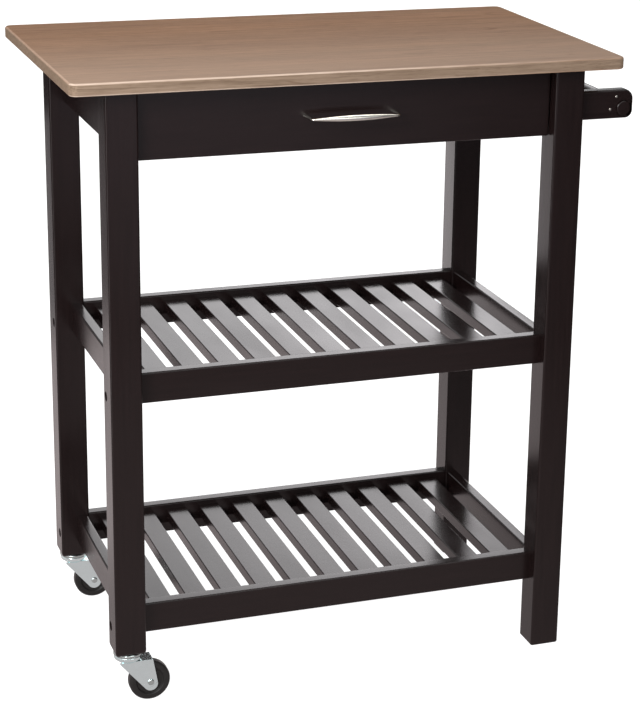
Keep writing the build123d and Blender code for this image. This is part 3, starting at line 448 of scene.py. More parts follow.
# %% Stained wood for the top
def stained_wood():
    """Satin grey-brown wood with its grain along X."""
    material, tree, shader = new_finish("stained_wood")
    sway = noise(tree, stretched(tree, SWAY_REPEATS), detail=2)
    warp = node(tree, "ShaderNodeVectorMath", operation="MULTIPLY_ADD")
    place = node(tree, "ShaderNodeTexCoord")
    tree.links.new(sway, warp.inputs[0])
    warp.inputs[1].default_value = SWAY_ACROSS
    tree.links.new(place.outputs["Object"], warp.inputs[2])

    def swayed(scale, offset=(0.0, 0.0, 0.0)):
        """Coordinates that drift sideways along the board, as its grain does."""
        mapping = node(tree, "ShaderNodeMapping", Scale=scale, Location=offset)
        tree.links.new(warp.outputs["Vector"], mapping.inputs["Vector"])
        return mapping.outputs["Vector"]

    bands = noise(tree, swayed(BAND_REPEATS, BAND_PLACE), detail=2)
    streaks = noise(tree, swayed(STREAK_REPEATS), detail=6, roughness=0.66)
    fibres = noise(tree, swayed(FIBRE_REPEATS), detail=3, roughness=0.6)
    dashes = noise(tree, swayed(DASH_REPEATS), detail=1)
    figures = noise(tree, swayed(FIGURE_REPEATS, FIGURE_PLACE), detail=3, distortion=0.7)

    colour = ramp(tree, streaks, STREAK_COLOURS)
    colour = mixed(tree, 1.0, colour, ramp(tree, bands, BAND_WARMTH), "MULTIPLY")
    colour = mixed(tree, 1.0, colour, ramp(tree, fibres, FIBRE_SHADE), "MULTIPLY")
    colour = mixed(tree, DASH_SHARE, colour, ramp(tree, dashes, DASH_SHADE), "MULTIPLY")
    colour = mixed(tree, 1.0, colour, ramp(tree, figures, FIGURE_SHADE), "MULTIPLY")

    facing_way = node(tree, "ShaderNodeSeparateXYZ")
    tree.links.new(node(tree, "ShaderNodeNewGeometry").outputs["Normal"], facing_way.inputs[0])
    upright = node(tree, "ShaderNodeMath", operation="ABSOLUTE")
    tree.links.new(facing_way.outputs["Z"], upright.inputs[0])
    level_share = upright.outputs["Value"]
    # Painted highlight on the rounded front edge: strongest at the left end, broken up by the fibres.
    rounded = gate(tree, level_share, HIGHLIGHT_ROUND[0])
    rounded = times(tree, rounded, gate(tree, level_share, HIGHLIGHT_ROUND[1], (1.0, 0.0)))
    rounded = times(tree, rounded, gate(tree, facing_way.outputs["Y"], *HIGHLIGHT_FRONT))
    across = node(tree, "ShaderNodeSeparateXYZ")
    tree.links.new(place.outputs["Object"], across.inputs[0])
    rounded = times(tree, rounded, gate(tree, across.outputs["X"], *HIGHLIGHT_ALONG))
    # Painted sheen, whiter towards the front of the top face.
    front_sheen = gate(tree, across.outputs["Y"], *SHEEN_FRONT)
    front_sheen = times(tree, front_sheen, gate(tree, facing_way.outputs["Z"], SHEEN_UP))
    colour = mixed(tree, front_sheen, colour, TOP_FRONT_SHEEN)
    # Painted shade on the faces that stand upright.
    upright_shade = gate(tree, level_share, UPRIGHT_SHADE_LIMITS, (1.0, 0.0))
    colour = mixed(tree, upright_shade, colour, UPRIGHT_SHADE_TINT, "MULTIPLY")
    colour = mixed(tree, times(tree, rounded, spread(tree, fibres, *HIGHLIGHT_FIBRE_BREAKUP)), colour, TOP_EDGE_HIGHLIGHT)
    tree.links.new(colour, shader.inputs["Base Color"])
    tree.links.new(spread(tree, streaks, TOP_ROUGHNESS), shader.inputs["Roughness"])
    shader.inputs["IOR"].default_value = TOP_IOR
    lines = bumped(tree, shader, fibres, FIBRE_RELIEF)
    bumped(tree, shader, dashes, DASH_RELIEF, after=lines)
    return material


STAINED = stained_wood()
print(STAINED.name, len(STAINED.node_tree.nodes), "nodes")

# %% [markdown]
# ## Metals, plastics and raw wood
# The casters' forks and the screws are bright zinc, slightly blue and cloudy, and the turned parts of the
# casters are a duller zinc. The handle and the brads are satin nickel, which is brushed along its length.
# The slides are powder-coated, the rollers are natural nylon, the wheels are a dark hard rubber, and the
# dowels are raw birch.

# %% Metal finishes
ZINC = (0.80, 0.935, 0.945)
TURNED_ZINC = (0.50, 0.56, 0.555)
ZINC_CLOUDY = 0.97
ZINC_CLOUDS = (160, 160, 160)
ZINC_DRAWN = (900, 900, 260)
ZINC_ROUGHNESS = (0.13, 0.17)
ZINC_RELIEF = (0.00001, 0.15)
NICKEL = (0.87, 0.85, 0.78)
NICKEL_BRUSHED = 0.90
NICKEL_BRUSH = (25, 5200, 5200)
NICKEL_CLOUDS = (40, 40, 40)
NICKEL_ROUGHNESS = (0.14, 0.20)
NICKEL_RELIEF = (0.00001, 0.3)


def darker(colour, share):
    """A colour with each part lowered by the same share."""
    return tuple(share * part for part in colour)


def zinc_plate(name, zinc):
    """Bright zinc plate, a little cloudy."""
    material, tree, shader = new_finish(name)
    cloud = noise(tree, stretched(tree, ZINC_CLOUDS), detail=4, roughness=0.6)
    drawn = noise(tree, stretched(tree, ZINC_DRAWN), detail=3)
    colour = ramp(tree, cloud, [(0.25, darker(zinc, ZINC_CLOUDY)), (0.70, zinc)])
    tree.links.new(colour, shader.inputs["Base Color"])
    shader.inputs["Metallic"].default_value = 1.0
    tree.links.new(spread(tree, cloud, ZINC_ROUGHNESS), shader.inputs["Roughness"])
    bumped(tree, shader, drawn, ZINC_RELIEF)
    return material


def brushed_nickel():
    """Satin nickel, brushed along X."""
    material, tree, shader = new_finish("brushed_nickel")
    brush = noise(tree, stretched(tree, NICKEL_BRUSH), detail=3)
    cloud = noise(tree, stretched(tree, NICKEL_CLOUDS), detail=2)
    colour = ramp(tree, brush, [(0.30, darker(NICKEL, NICKEL_BRUSHED)), (0.70, NICKEL)])
    tree.links.new(colour, shader.inputs["Base Color"])
    shader.inputs["Metallic"].default_value = 1.0
    tree.links.new(spread(tree, cloud, NICKEL_ROUGHNESS), shader.inputs["Roughness"])
    bumped(tree, shader, brush, NICKEL_RELIEF)
    return material


ZINC_PLATE = zinc_plate("zinc_plate", ZINC)
TURNED_PLATE = zinc_plate("turned_zinc", TURNED_ZINC)
BRUSHED_NICKEL = brushed_nickel()
print([metal.name for metal in (ZINC_PLATE, TURNED_PLATE, BRUSHED_NICKEL)])

# %% Tools for plastic, paint and raw wood
PLASTIC_IOR = 1.46
RUBBER_IOR = 1.32
PLASTIC_CLOUDS = (60, 60, 60)
PLASTIC_RELIEF = (0.00005, 0.4)
RAW_IOR = 1.4
RAW_GRAIN = (12, 420)
RAW_BANDS = (3, 40)
RAW_SHADE = [(0.30, (0.88, 0.86, 0.85)), (0.70, (1.05, 1.05, 1.05))]
RAW_RELIEF = (0.0001, 0.5)


def moulded(name, dark, light, roughness, grain, ior=PLASTIC_IOR):
    """A moulded or painted surface: a faint cloud in its colour and a fine skin."""
    material, tree, shader = new_finish(name)
    cloud = noise(tree, stretched(tree, PLASTIC_CLOUDS), detail=3)
    skin = noise(tree, stretched(tree, (grain, grain, grain)), detail=2)
    tree.links.new(ramp(tree, cloud, [(0.30, dark), (0.70, light)]), shader.inputs["Base Color"])
    tree.links.new(spread(tree, skin, roughness), shader.inputs["Roughness"])
    shader.inputs["IOR"].default_value = ior
    bumped(tree, shader, skin, PLASTIC_RELIEF)
    return material


def raw_wood(name, dark, light, axis, roughness):
    """Unfinished or matt wood with its grain along one axis."""
    material, tree, shader = new_finish(name)
    grain = noise(tree, stretched(tree, along_grain(axis, *RAW_GRAIN)), detail=5, roughness=0.6)
    bands = noise(tree, stretched(tree, along_grain(axis, *RAW_BANDS)), detail=2)
    colour = ramp(tree, grain, [(0.30, dark), (0.70, light)])
    shade = ramp(tree, bands, RAW_SHADE)
    tree.links.new(mixed(tree, 1.0, colour, shade, "MULTIPLY"), shader.inputs["Base Color"])
    tree.links.new(spread(tree, grain, roughness), shader.inputs["Roughness"])
    shader.inputs["IOR"].default_value = RAW_IOR
    bumped(tree, shader, grain, RAW_RELIEF)
    return material


print("tools for plastic, paint and raw wood")

# %% Plastic, paint and raw wood finishes
RUBBER = moulded(
    "wheel_rubber",
    dark=(0.0085, 0.0075, 0.0072),
    light=(0.0125, 0.0112, 0.0110),
    roughness=(0.34, 0.44),
    grain=900,
    ior=RUBBER_IOR,
)
ENAMEL = moulded(
    "white_enamel", dark=(0.66, 0.66, 0.64), light=(0.74, 0.74, 0.72), roughness=(0.38, 0.48), grain=1500
)
NYLON = moulded(
    "natural_nylon", dark=(0.62, 0.61, 0.56), light=(0.70, 0.69, 0.64), roughness=(0.40, 0.52), grain=700
)
BIRCH = raw_wood(
    "raw_birch", dark=(0.50, 0.36, 0.22), light=(0.64, 0.48, 0.31), axis=X, roughness=(0.60, 0.72)
)
DRAWER_DARK = (0.009, 0.006, 0.005)
DRAWER_LIGHT = (0.022, 0.015, 0.012)
DRAWER_ROUGHNESS = (0.42, 0.55)
DRAWER_WOOD = [
    raw_wood("drawer_wood_" + "xyz"[axis], DRAWER_DARK, DRAWER_LIGHT, axis, DRAWER_ROUGHNESS) for axis in (X, Y)
]
print(len(bpy.data.materials), "finishes")

# %% [markdown]
# ## Handing a piece over
# A finished piece takes a finish, rides on a body of the frame, and takes the place of the frame nodes
# that it stands for.

# %% Tool for handing a piece over
def hand_over(piece, finish, body, slot, *nodes):
    """Give a piece its finish, its body and the nodes that it replaces."""
    piece.data.materials.clear()
    piece.data.materials.append(finish)
    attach(piece, body)
    if nodes:
        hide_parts(*nodes)


print("tool for handing a piece over")

# %% [markdown]
# ## The worktop
# The top is one thick board. Its four corners are rounded in plan first, because the rounding of the upper
# and lower edge then runs round the corners in one go.

# %% Worktop
TOP_CORNER = 12.0 * MM
TOP_UPPER_ROUND = 3.5 * MM
TOP_LOWER_ROUND = 3.0 * MM
TOP_CORNER_SEGMENTS = 10
TOP_UPPER_SEGMENTS = 5
TOP_SMOOTH = math.radians(30)

low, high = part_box("worktop")
top = block("stained_top_board", low, high)
ease(top, along(Z), TOP_CORNER, TOP_CORNER_SEGMENTS)
ease(top, at_height(Z, high.z), TOP_UPPER_ROUND, TOP_UPPER_SEGMENTS)
ease(top, at_height(Z, low.z), TOP_LOWER_ROUND)
smooth(top, TOP_SMOOTH)
hand_over(top, STAINED, "root", "stained_top", "worktop")
print("top", [round(v * 1000, 1) for v in high - low], len(top.data.polygons), "faces")

# %% [markdown]
# ## The legs
# The legs are square posts with small rounds on their long edges. Each has two counterbores in its outer
# face, where the long bolts of the shelf rails go in, and the round heads of those bolts show at the bottom
# of them. The right legs also have two screws for the towel arm in their inner faces.

# %% Legs
LEG_ROUND = 3.0 * MM
LEG_SEGMENTS = 5
FOOT_ROUND = 3.5 * MM
SOCKET_ROUND = 6.0 * MM
COUNTERBORE_RADIUS = 7.0 * MM
COUNTERBORE_DEPTH = 10.0 * MM
ARM_SCREW_RADIUS = 5.05 * MM
SCREW_SEAT_DEPTH = 1.0 * MM
SHELVES = ("upper", "lower")
ENDS = {"front": -1, "rear": 1}
SIDES = {"left": -1, "right": 1}
BOLT_UP = 13.0 * MM
ARM_SCREW_UPS = (11.0 * MM, 31.0 * MM)

for end_name in ENDS:
    for side_name, side in SIDES.items():
        node_name = f"{end_name}_{side_name}_leg"
        low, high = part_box(node_name)
        leg = block(f"{end_name}_{side_name}_post", low, high)
        ease(leg, along(Z), LEG_ROUND, LEG_SEGMENTS)
        foot = SOCKET_ROUND if side < 0 else FOOT_ROUND
        ease(leg, at_height(Z, low.z), foot)
        outer = low.x if side < 0 else high.x
        inner = high.x if side < 0 else low.x
        for shelf in SHELVES:
            rail_low, rail_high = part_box(f"{shelf}_{end_name}_rail")
            centre = (outer, (rail_low.y + rail_high.y) / 2, rail_low.z + BOLT_UP)
            bore(leg, centre, X, COUNTERBORE_RADIUS, 2 * COUNTERBORE_DEPTH)
        if side > 0:
            arm_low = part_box(f"{end_name}_towel_arm")[0]
            for up in ARM_SCREW_UPS:
                centre = (inner, (low.y + high.y) / 2, arm_low.z + up)
                bore(leg, centre, X, ARM_SCREW_RADIUS, 2 * SCREW_SEAT_DEPTH)
        smooth(leg)
        hand_over(leg, LACQUER[Z], "root", "espresso_wood", node_name)
        print(leg.name, len(leg.data.polygons), "faces")

# %% [markdown]
# ## Rails and aprons
# The rails stand between the legs, so only their long edges are rounded. In the real trolley each long rail
# is drawn up to the leg by a bolt, and the bolt's barrel nut sits in a hole in the rail's inner face.

# %% Rails and aprons
RAIL_ROUND = 2.5 * MM
NUT_RADIUS = 5.05 * MM
NUT_DEPTH = 1.0 * MM
NUT_FROM_END = 35.0 * MM


def rail(node_name, axis):
    """A rail that fills its node, with its long edges rounded."""
    low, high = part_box(node_name)
    piece = block(node_name + "_wood", low, high)
    ease(piece, along(axis), RAIL_ROUND)
    return piece, low, high


for shelf in SHELVES:
    for end_name, end in ENDS.items():
        node_name = f"{shelf}_{end_name}_rail"
        piece, low, high = rail(node_name, X)
        inner_y = high.y if end < 0 else low.y
        for nut_x in (low.x + NUT_FROM_END, high.x - NUT_FROM_END):
            bore(piece, (nut_x, inner_y, low.z + BOLT_UP), Y, NUT_RADIUS, 2 * NUT_DEPTH)
        smooth(piece)
        hand_over(piece, LACQUER[X], "root", "espresso_wood", node_name)
    for side_name in SIDES:
        node_name = f"{shelf}_{side_name}_rail"
        piece, low, high = rail(node_name, Y)
        smooth(piece)
        hand_over(piece, LACQUER[Y], "root", "espresso_wood", node_name)

for node_name, axis in (("left_apron", Y), ("right_apron", Y), ("rear_apron", X)):
    piece, low, high = rail(node_name, axis)
    smooth(piece)
    hand_over(piece, LACQUER[axis], "root", "espresso_wood", node_name)
print("rail section", [round(v * 1000, 1) for v in high - low])

# %% [markdown]
# ## The slats
# Each shelf has eleven slats. They are all alike, so one is made and the others are copies of it, each with
# a mesh of its own and moved along by one step.

# %% Slats
SLAT_ROUND = 1.4 * MM
SLAT_COUNT = 11
SLAT_WIDTH = 32.4 * MM

for shelf in SHELVES:
    node_name = f"{shelf}_slats"
    low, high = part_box(node_name)
    step = (high.x - low.x - SLAT_WIDTH) / (SLAT_COUNT - 1)
    slat = block(f"{shelf}_slat_1", low, (low.x + SLAT_WIDTH, high.y, high.z))
    ease(slat, along(Y), SLAT_ROUND)
    smooth(slat)
    row = [slat]
    for count in range(1, SLAT_COUNT):
        pick(slat)
        bpy.ops.object.duplicate(linked=False)
        copy = bpy.context.object
        copy.name = f"{shelf}_slat_{count + 1}"
        bpy.ops.transform.translate(value=(step * count, 0, 0))
        bpy.ops.object.transform_apply(location=True, rotation=True, scale=True)
        row.append(copy)
    for piece in row:
        hand_over(piece, LACQUER[Y], "root", "espresso_wood", node_name)
print(SLAT_COUNT, "slats on each shelf, one every", round(step * 1000, 2), "mm")

# %% [markdown]
# ## The drawer front
# The drawer front is a plain board that fills the space between the front legs. Only the edges of its face
# are rounded.

# %% Drawer front
DRAWER_ROUND = 2.0 * MM

low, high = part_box("drawer_front")
front = block("drawer_front_board", low, high)
ease(front, at_height(Y, low.y), DRAWER_ROUND)
smooth(front)
hand_over(front, LACQUER[X], "drawer", "espresso_wood", "drawer_front")
print("drawer front", [round(v * 1000, 1) for v in high - low])

# %% [markdown]
# ## The bow handle
# The handle is a slim bow: deepest and tallest in the middle, thin at its ends, where it bends back to the
# drawer. It is a loft. A ring is added at each of many stations along the bow's line, scaled to the height
# it has there, and the rings are bridged.

# %% Sizes of the bow handle
HANDLE_THICK = 4.5 * MM
HANDLE_END_HEIGHT = 3.2 * MM
HANDLE_MIDDLE_HEIGHT = 8.6 * MM
HANDLE_FOOT = (9.0 * MM, 5.0 * MM)
HANDLE_CENTRES = 128.0 * MM
HANDLE_SPLAY = 1.0 * MM
HANDLE_BOW = 1.7 * MM
HANDLE_BEND = 4.5 * MM
HANDLE_LEAN = math.radians(13.0)
HANDLE_STATIONS = 21
BEND_STATIONS = 7
LEG_STATIONS = 6
RING_POINTS = 28
FULLNESS_POWER = 1.1
FLARE_POWER = 1.5
HANDLE_SMOOTH = math.radians(60)

low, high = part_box("drawer_handle")
handle_z = (low.z + high.z) / 2
handle_x = (low.x + high.x) / 2
face_y = high.y
middle_y = low.y + HANDLE_THICK / 2
shoulder = HANDLE_CENTRES / 2 - HANDLE_SPLAY
end_y = middle_y + HANDLE_BOW
print("handle reaches", round((face_y - low.y) * 1000, 1), "mm out of the drawer front")

# %% The line of the bow
def bow_line():
    """Half of the handle, from the middle to the foot: a point, a thickness and a height at each station."""
    flat = shoulder - HANDLE_BEND
    stations = []
    for n in range(HANDLE_STATIONS):
        x = flat * n / (HANDLE_STATIONS - 1)
        fullness = (1 - (x / shoulder) ** 2) ** FULLNESS_POWER
        height = HANDLE_END_HEIGHT + (HANDLE_MIDDLE_HEIGHT - HANDLE_END_HEIGHT) * fullness
        stations.append((Vector((x, middle_y + HANDLE_BOW * (x / shoulder) ** 2, 0)), HANDLE_THICK, height))
    start = stations[-1][0]
    start_height = stations[-1][2]
    foot = Vector((HANDLE_CENTRES / 2, face_y, 0))
    corner = Vector((shoulder, end_y, 0))
    after = corner + (foot - corner).normalized() * HANDLE_BEND
    for n in range(1, BEND_STATIONS + 1):
        t = n / BEND_STATIONS
        point = start * (1 - t) ** 2 + corner * (2 * t * (1 - t)) + after * t ** 2
        stations.append((point, HANDLE_THICK, start_height + (HANDLE_END_HEIGHT - start_height) * t))
    for n in range(1, LEG_STATIONS + 1):
        t = n / LEG_STATIONS
        thickness = HANDLE_THICK + (HANDLE_FOOT[0] - HANDLE_THICK) * t ** FLARE_POWER
        height = HANDLE_END_HEIGHT + (HANDLE_FOOT[1] - HANDLE_END_HEIGHT) * t
        stations.append((after.lerp(foot, t), thickness, height))
    return stations


half_line = bow_line()
line = [(Vector((-p.x, p.y, 0)), t, h) for p, t, h in reversed(half_line[1:])] + half_line
print(len(line), "stations along the handle")

# %% [markdown]
# A new object needs a mesh to start from, so a circle is added and emptied again. Then the rings go in one
# after another, each turned across the line and leaned a little towards the light, and one bridge joins
# them all.

# %% Bow handle
bpy.ops.object.select_all(action="DESELECT")
bpy.ops.mesh.primitive_circle_add(vertices=RING_POINTS, radius=0.5, location=(0, 0, 0))
handle = bpy.context.object
handle.name = "bow_handle"
bpy.ops.object.mode_set(mode="EDIT")
bpy.ops.mesh.select_all(action="SELECT")
bpy.ops.mesh.delete(type="VERT")
for n, (point, thickness, height) in enumerate(line):
    heading = line[min(n + 1, len(line) - 1)][0] - line[max(n - 1, 0)][0]
    angle = math.atan2(heading.y, heading.x)
    centre = (handle_x + point.x, point.y, handle_z)
    bpy.ops.mesh.primitive_circle_add(
        vertices=RING_POINTS,
        radius=thickness / 2,
        location=centre,
        rotation=(math.pi / 2, 0, angle + math.pi / 2),
    )
    bpy.ops.transform.resize(value=(1, 1, height / thickness), center_override=centre)
    lean = HANDLE_LEAN * max(0.0, 1 - (point.x / shoulder) ** 2)
    bpy.ops.transform.rotate(value=lean, orient_axis="X", orient_type="GLOBAL", center_override=centre)
bpy.ops.mesh.select_all(action="SELECT")
bpy.ops.mesh.bridge_edge_loops()
bpy.ops.mesh.select_all(action="SELECT")
bpy.ops.mesh.normals_make_consistent(inside=False)
bpy.ops.object.mode_set(mode="OBJECT")
print("handle", len(handle.data.polygons), "faces", [round(v * 1000, 1) for v in handle.dimensions])
smooth(handle, HANDLE_SMOOTH)
hand_over(handle, BRUSHED_NICKEL, "drawer", "satin_nickel", "drawer_handle")

# %% [markdown]
# ## The towel bar
# Two shaped arms stand out from the right legs and carry a round bar. Seen from the front, an arm's outer
# end is rounded, more at the top than at the bottom. Its outline edges are eased, and a hole takes the bar.

# %% Towel arms and bar
ARM_TOP_ROUND = 15.0 * MM
ARM_BOTTOM_ROUND = 11.5 * MM
ARM_ROUND = 3.8 * MM
BAR_ROUND = 2.0 * MM
BAR_GAP = 0.30 * MM
HOLE_ROUND = 1.4 * MM
ARM_CORNER_SEGMENTS = 12
BAR_SEGMENTS = 5
BAR_SIDES = 64

bar_low, bar_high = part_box("towel_bar")
bar_middle = (bar_low + bar_high) / 2
bar_radius = (bar_high.x - bar_low.x) / 2
for end_name in ENDS:
    node_name = f"{end_name}_towel_arm"
    low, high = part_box(node_name)
    arm = block(f"{end_name}_arm", low, high)
    for z, radius in ((high.z, ARM_TOP_ROUND), (low.z, ARM_BOTTOM_ROUND)):

        def on_tip(a, b):
            """A test for the edge across the arm's tip at one height."""
            return along(Y)(a, b) and at_height(X, high.x)(a, b) and at_height(Z, z)(a, b)

        ease(arm, on_tip, radius, ARM_CORNER_SEGMENTS)
    for y in (low.y, high.y):

        def on_outline(a, b):
            """A test for the outline of one face, but for the edge against the leg."""
            return at_height(Y, y)(a, b) and not at_height(X, low.x)(a, b)

        ease(arm, on_outline, ARM_ROUND)
    centre = (bar_middle.x, (low.y + high.y) / 2, bar_middle.z)
    bore(arm, centre, Y, bar_radius + BAR_GAP, 2 * (high.y - low.y))

    def on_hole(a, b):
        """A test for the rim of the bar's hole, on either face of the arm."""
        reach = bar_radius + 2 * BAR_GAP
        near = all(math.hypot(p.x - bar_middle.x, p.z - bar_middle.z) < reach for p in (a, b))
        return near and (at_height(Y, low.y)(a, b) or at_height(Y, high.y)(a, b))

    ease(arm, on_hole, HOLE_ROUND)
    smooth(arm)
    hand_over(arm, LACQUER[X], "root", "espresso_wood", node_name)
bar = cylinder("round_bar", bar_middle, Y, bar_radius, bar_high.y - bar_low.y, BAR_SIDES)
for y in (bar_low.y, bar_high.y):
    ease(bar, at_height(Y, y), BAR_ROUND, BAR_SEGMENTS)
smooth(bar)
hand_over(bar, LACQUER[Y], "root", "espresso_wood", "towel_bar")
print("bar", round(bar_radius * 2000, 1), "mm across,", round((bar_high.y - bar_low.y) * 1000, 1), "mm long")

# %% [markdown]
# ## Hardware and hidden wood
# The casters, bolts, brackets, slides and the drawer's box already have their true shape in the
# construction model, but with knife-sharp edges. Pressed, turned or sawn edges always have a little round.
# So each of these pieces is a copy of its frame node: its loose triangles are merged, flat triangles are
# joined into whole faces, and a bevel that works only on real edges, not on the facets of a round, eases
# them.

# %% Tool for easing a copy of a frame node
BODY_OF = {part: body for body, parts in frame["record"]["behaviour"]["bodies"].items() for part in parts}
SLOT_OF = {part["node"]: part["material_slot"] for part in frame["record"]["subparts"]}
MERGE = 0.000005
FLAT_ANGLE = math.radians(0.3)
EDGE_ANGLE = math.radians(38)
PLAIN_SEGMENTS = 2
FINE_SEGMENTS = 3


def eased_copy(node_name, finish, width, segments=PLAIN_SEGMENTS):
    """A merged copy of a frame node with its real edges eased."""
    piece = bpy.data.objects.new(node_name + "_eased", frame["nodes"][node_name].data.copy())
    scene.collection.objects.link(piece)
    pick(piece)
    bpy.ops.object.mode_set(mode="EDIT")
    bpy.ops.mesh.select_all(action="SELECT")
    bpy.ops.mesh.remove_doubles(threshold=MERGE)
    bpy.ops.mesh.dissolve_limited(angle_limit=FLAT_ANGLE)
    bpy.ops.mesh.customdata_custom_splitnormals_clear()
    bpy.ops.object.mode_set(mode="OBJECT")
    modifier = piece.modifiers.new("eased edges", "BEVEL")
    modifier.width = width
    modifier.segments = segments
    modifier.limit_method = "ANGLE"
    modifier.angle_limit = EDGE_ANGLE
    bpy.ops.object.modifier_apply(modifier=modifier.name)
    smooth(piece)
    hand_over(piece, finish, BODY_OF[node_name], SLOT_OF[node_name], node_name)
    return piece


print(len(BODY_OF), "nodes have a body,", len(SLOT_OF), "have a slot")

# %% Casters
FORK_EASE = 0.35 * MM
STEM_EASE = 0.30 * MM
WHEEL_EASE = 1.0 * MM
WHEEL_SEGMENTS = 4

for end_name in ENDS:
    eased_copy(f"{end_name}_caster_fork", ZINC_PLATE, FORK_EASE, FINE_SEGMENTS)
    eased_copy(f"{end_name}_caster_stem", TURNED_PLATE, STEM_EASE)
    eased_copy(f"{end_name}_caster_axle", TURNED_PLATE, STEM_EASE, FINE_SEGMENTS)
    wheel = eased_copy(f"{end_name}_caster_wheel", RUBBER, WHEEL_EASE, WHEEL_SEGMENTS)
print("wheel", len(wheel.data.polygons), "faces")

# %% Bolts, nuts, brackets and brads
BOLT_EASE = 0.35 * MM
NUT_EASE = 0.25 * MM
SCREW_EASE = 0.15 * MM
BRAD_EASE = 0.30 * MM

for node_name, finish, width in (
    ("rail_bolts", ZINC_PLATE, BOLT_EASE),
    ("barrel_nuts", ZINC_PLATE, NUT_EASE),
    ("top_brackets", ZINC_PLATE, NUT_EASE),
    ("frame_screws", ZINC_PLATE, SCREW_EASE),
    ("towel_arm_screws", ZINC_PLATE, SCREW_EASE),
    ("towel_arm_brads", BRUSHED_NICKEL, BRAD_EASE),
):
    piece = eased_copy(node_name, finish, width)
    print(node_name, len(piece.data.polygons), "faces")

# %% Slides and rollers
SLIDE_EASE = 0.25 * MM
ROLLER_EASE = 0.4 * MM

for side_name in SIDES:
    for part in ("cabinet", "drawer"):
        eased_copy(f"{side_name}_{part}_slide", ENAMEL, SLIDE_EASE)
    for part in ("cabinet", "drawer"):
        roller = eased_copy(f"{side_name}_{part}_roller", NYLON, ROLLER_EASE)
print("roller", len(roller.data.polygons), "faces")

# %% Drawer box, stretcher, packers and cleats
BOX_EASE = 0.9 * MM
STRETCHER_EASE = 1.6 * MM
PACKER_EASE = 0.8 * MM
CLEAT_EASE = 1.2 * MM

for node_name, finish, width in (
    ("drawer_left_side", DRAWER_WOOD[Y], BOX_EASE),
    ("drawer_right_side", DRAWER_WOOD[Y], BOX_EASE),
    ("drawer_back", DRAWER_WOOD[X], BOX_EASE),
    ("front_stretcher", LACQUER[X], STRETCHER_EASE),
    ("slide_packers", LACQUER[Y], PACKER_EASE),
):
    eased_copy(node_name, finish, width, FINE_SEGMENTS)
for shelf in SHELVES:
    for end_name in ENDS:
        cleat = eased_copy(f"{shelf}_{end_name}_cleat", LACQUER[X], CLEAT_EASE, FINE_SEGMENTS)
print("cleat", len(cleat.data.polygons), "faces")

# %% [markdown]
# ## Finishes for the pieces that stay
# The rest of the frame, such as dowels and the screws inside the wood, keeps its construction shape and
# only needs a finish.

# %% Finish the frame nodes that are kept
KEPT = {
    "zinc_steel": ZINC_PLATE,
    "satin_nickel": BRUSHED_NICKEL,
    "white_enamel": ENAMEL,
    "nylon": NYLON,
    "wheel_black": RUBBER,
    "birch": BIRCH,
    "espresso_wood": LACQUER[X],
    "drawer_wood": DRAWER_WOOD[X],
    "stained_top": STAINED,
}
for name, cad in frame["nodes"].items():
    cad.data.materials.clear()
    cad.data.materials.append(KEPT[SLOT_OF[name]])
print(len(frame["nodes"]), "nodes have a finish")

# %% [markdown]
# ## Floor and light
# The trolley stands on white paper in a darker studio. A lacquered face mirrors what lies opposite to it,
# so the photo's light can be read from its faces: the fronts mirror the dim floor before the trolley, the
# left faces mirror the paper behind it up to the paper's edge, and the slats mirror a large bright screen
# behind. So there are two floors. One is the plain pale floor that the camera sees. The other is seen only
# in reflections and has the brightness that the real floor has from place to place.

# %% Tools for the studio
FLOOR_SIZE = 80.0


def stand(name, finish, place, turn=(0.0, 0.0, 0.0), size=(FLOOR_SIZE, FLOOR_SIZE)):
    """A flat glowing card that isn't part of the trolley and isn't sampled as a lamp."""
    bpy.ops.object.select_all(action="DESELECT")
    bpy.ops.mesh.primitive_plane_add(size=1, location=place, rotation=turn)
    card = bpy.context.object
    card.name = name
    card.scale = (*size, 1.0)
    bpy.ops.object.transform_apply(location=True, rotation=True, scale=True)
    card.data.materials.append(finish)
    finish.cycles.emission_sampling = "NONE"
    return card


def only_mirrored(card):
    """Let a card be seen only in reflections."""
    card.visible_camera = False
    card.visible_diffuse = False
    card.visible_shadow = False
    card.visible_transmission = False


def glowing(name, colour):
    """A finish that only glows, with the sockets where its place is read."""
    material, tree, shader = new_finish(name)
    shader.inputs["Base Color"].default_value = (0.0, 0.0, 0.0, 1.0)
    shader.inputs["Specular IOR Level"].default_value = 0.0
    shader.inputs["Emission Color"].default_value = (*colour, 1.0)
    place = node(tree, "ShaderNodeSeparateXYZ")
    tree.links.new(node(tree, "ShaderNodeTexCoord").outputs["Object"], place.inputs[0])
    return material, tree, shader, place.outputs


print("tools for the studio")

# %% The floor that the camera sees
FLOOR_COLOUR = (0.30, 0.30, 0.30, 1.0)
FLOOR_ROUGHNESS = 0.9
FLOOR_GLOW = 0.92

pale_finish, pale_tree, pale_shader = new_finish("pale_floor")
pale_shader.inputs["Base Color"].default_value = FLOOR_COLOUR
pale_shader.inputs["Roughness"].default_value = FLOOR_ROUGHNESS
pale_shader.inputs["Emission Color"].default_value = (*WHITE, 1.0)
pale_shader.inputs["Emission Strength"].default_value = FLOOR_GLOW
pale_floor = stand("pale_floor", pale_finish, (0.0, 0.0, 0.0))
pale_floor.visible_glossy = False
print("floor", FLOOR_SIZE, "m wide")

# %% The backdrop that the camera sees
BACKDROP_AWAY = 38.0
BACKDROP_HIGH = 60.0
BACKDROP_SIDES = 96
BACKDROP_GLOW = 1.1

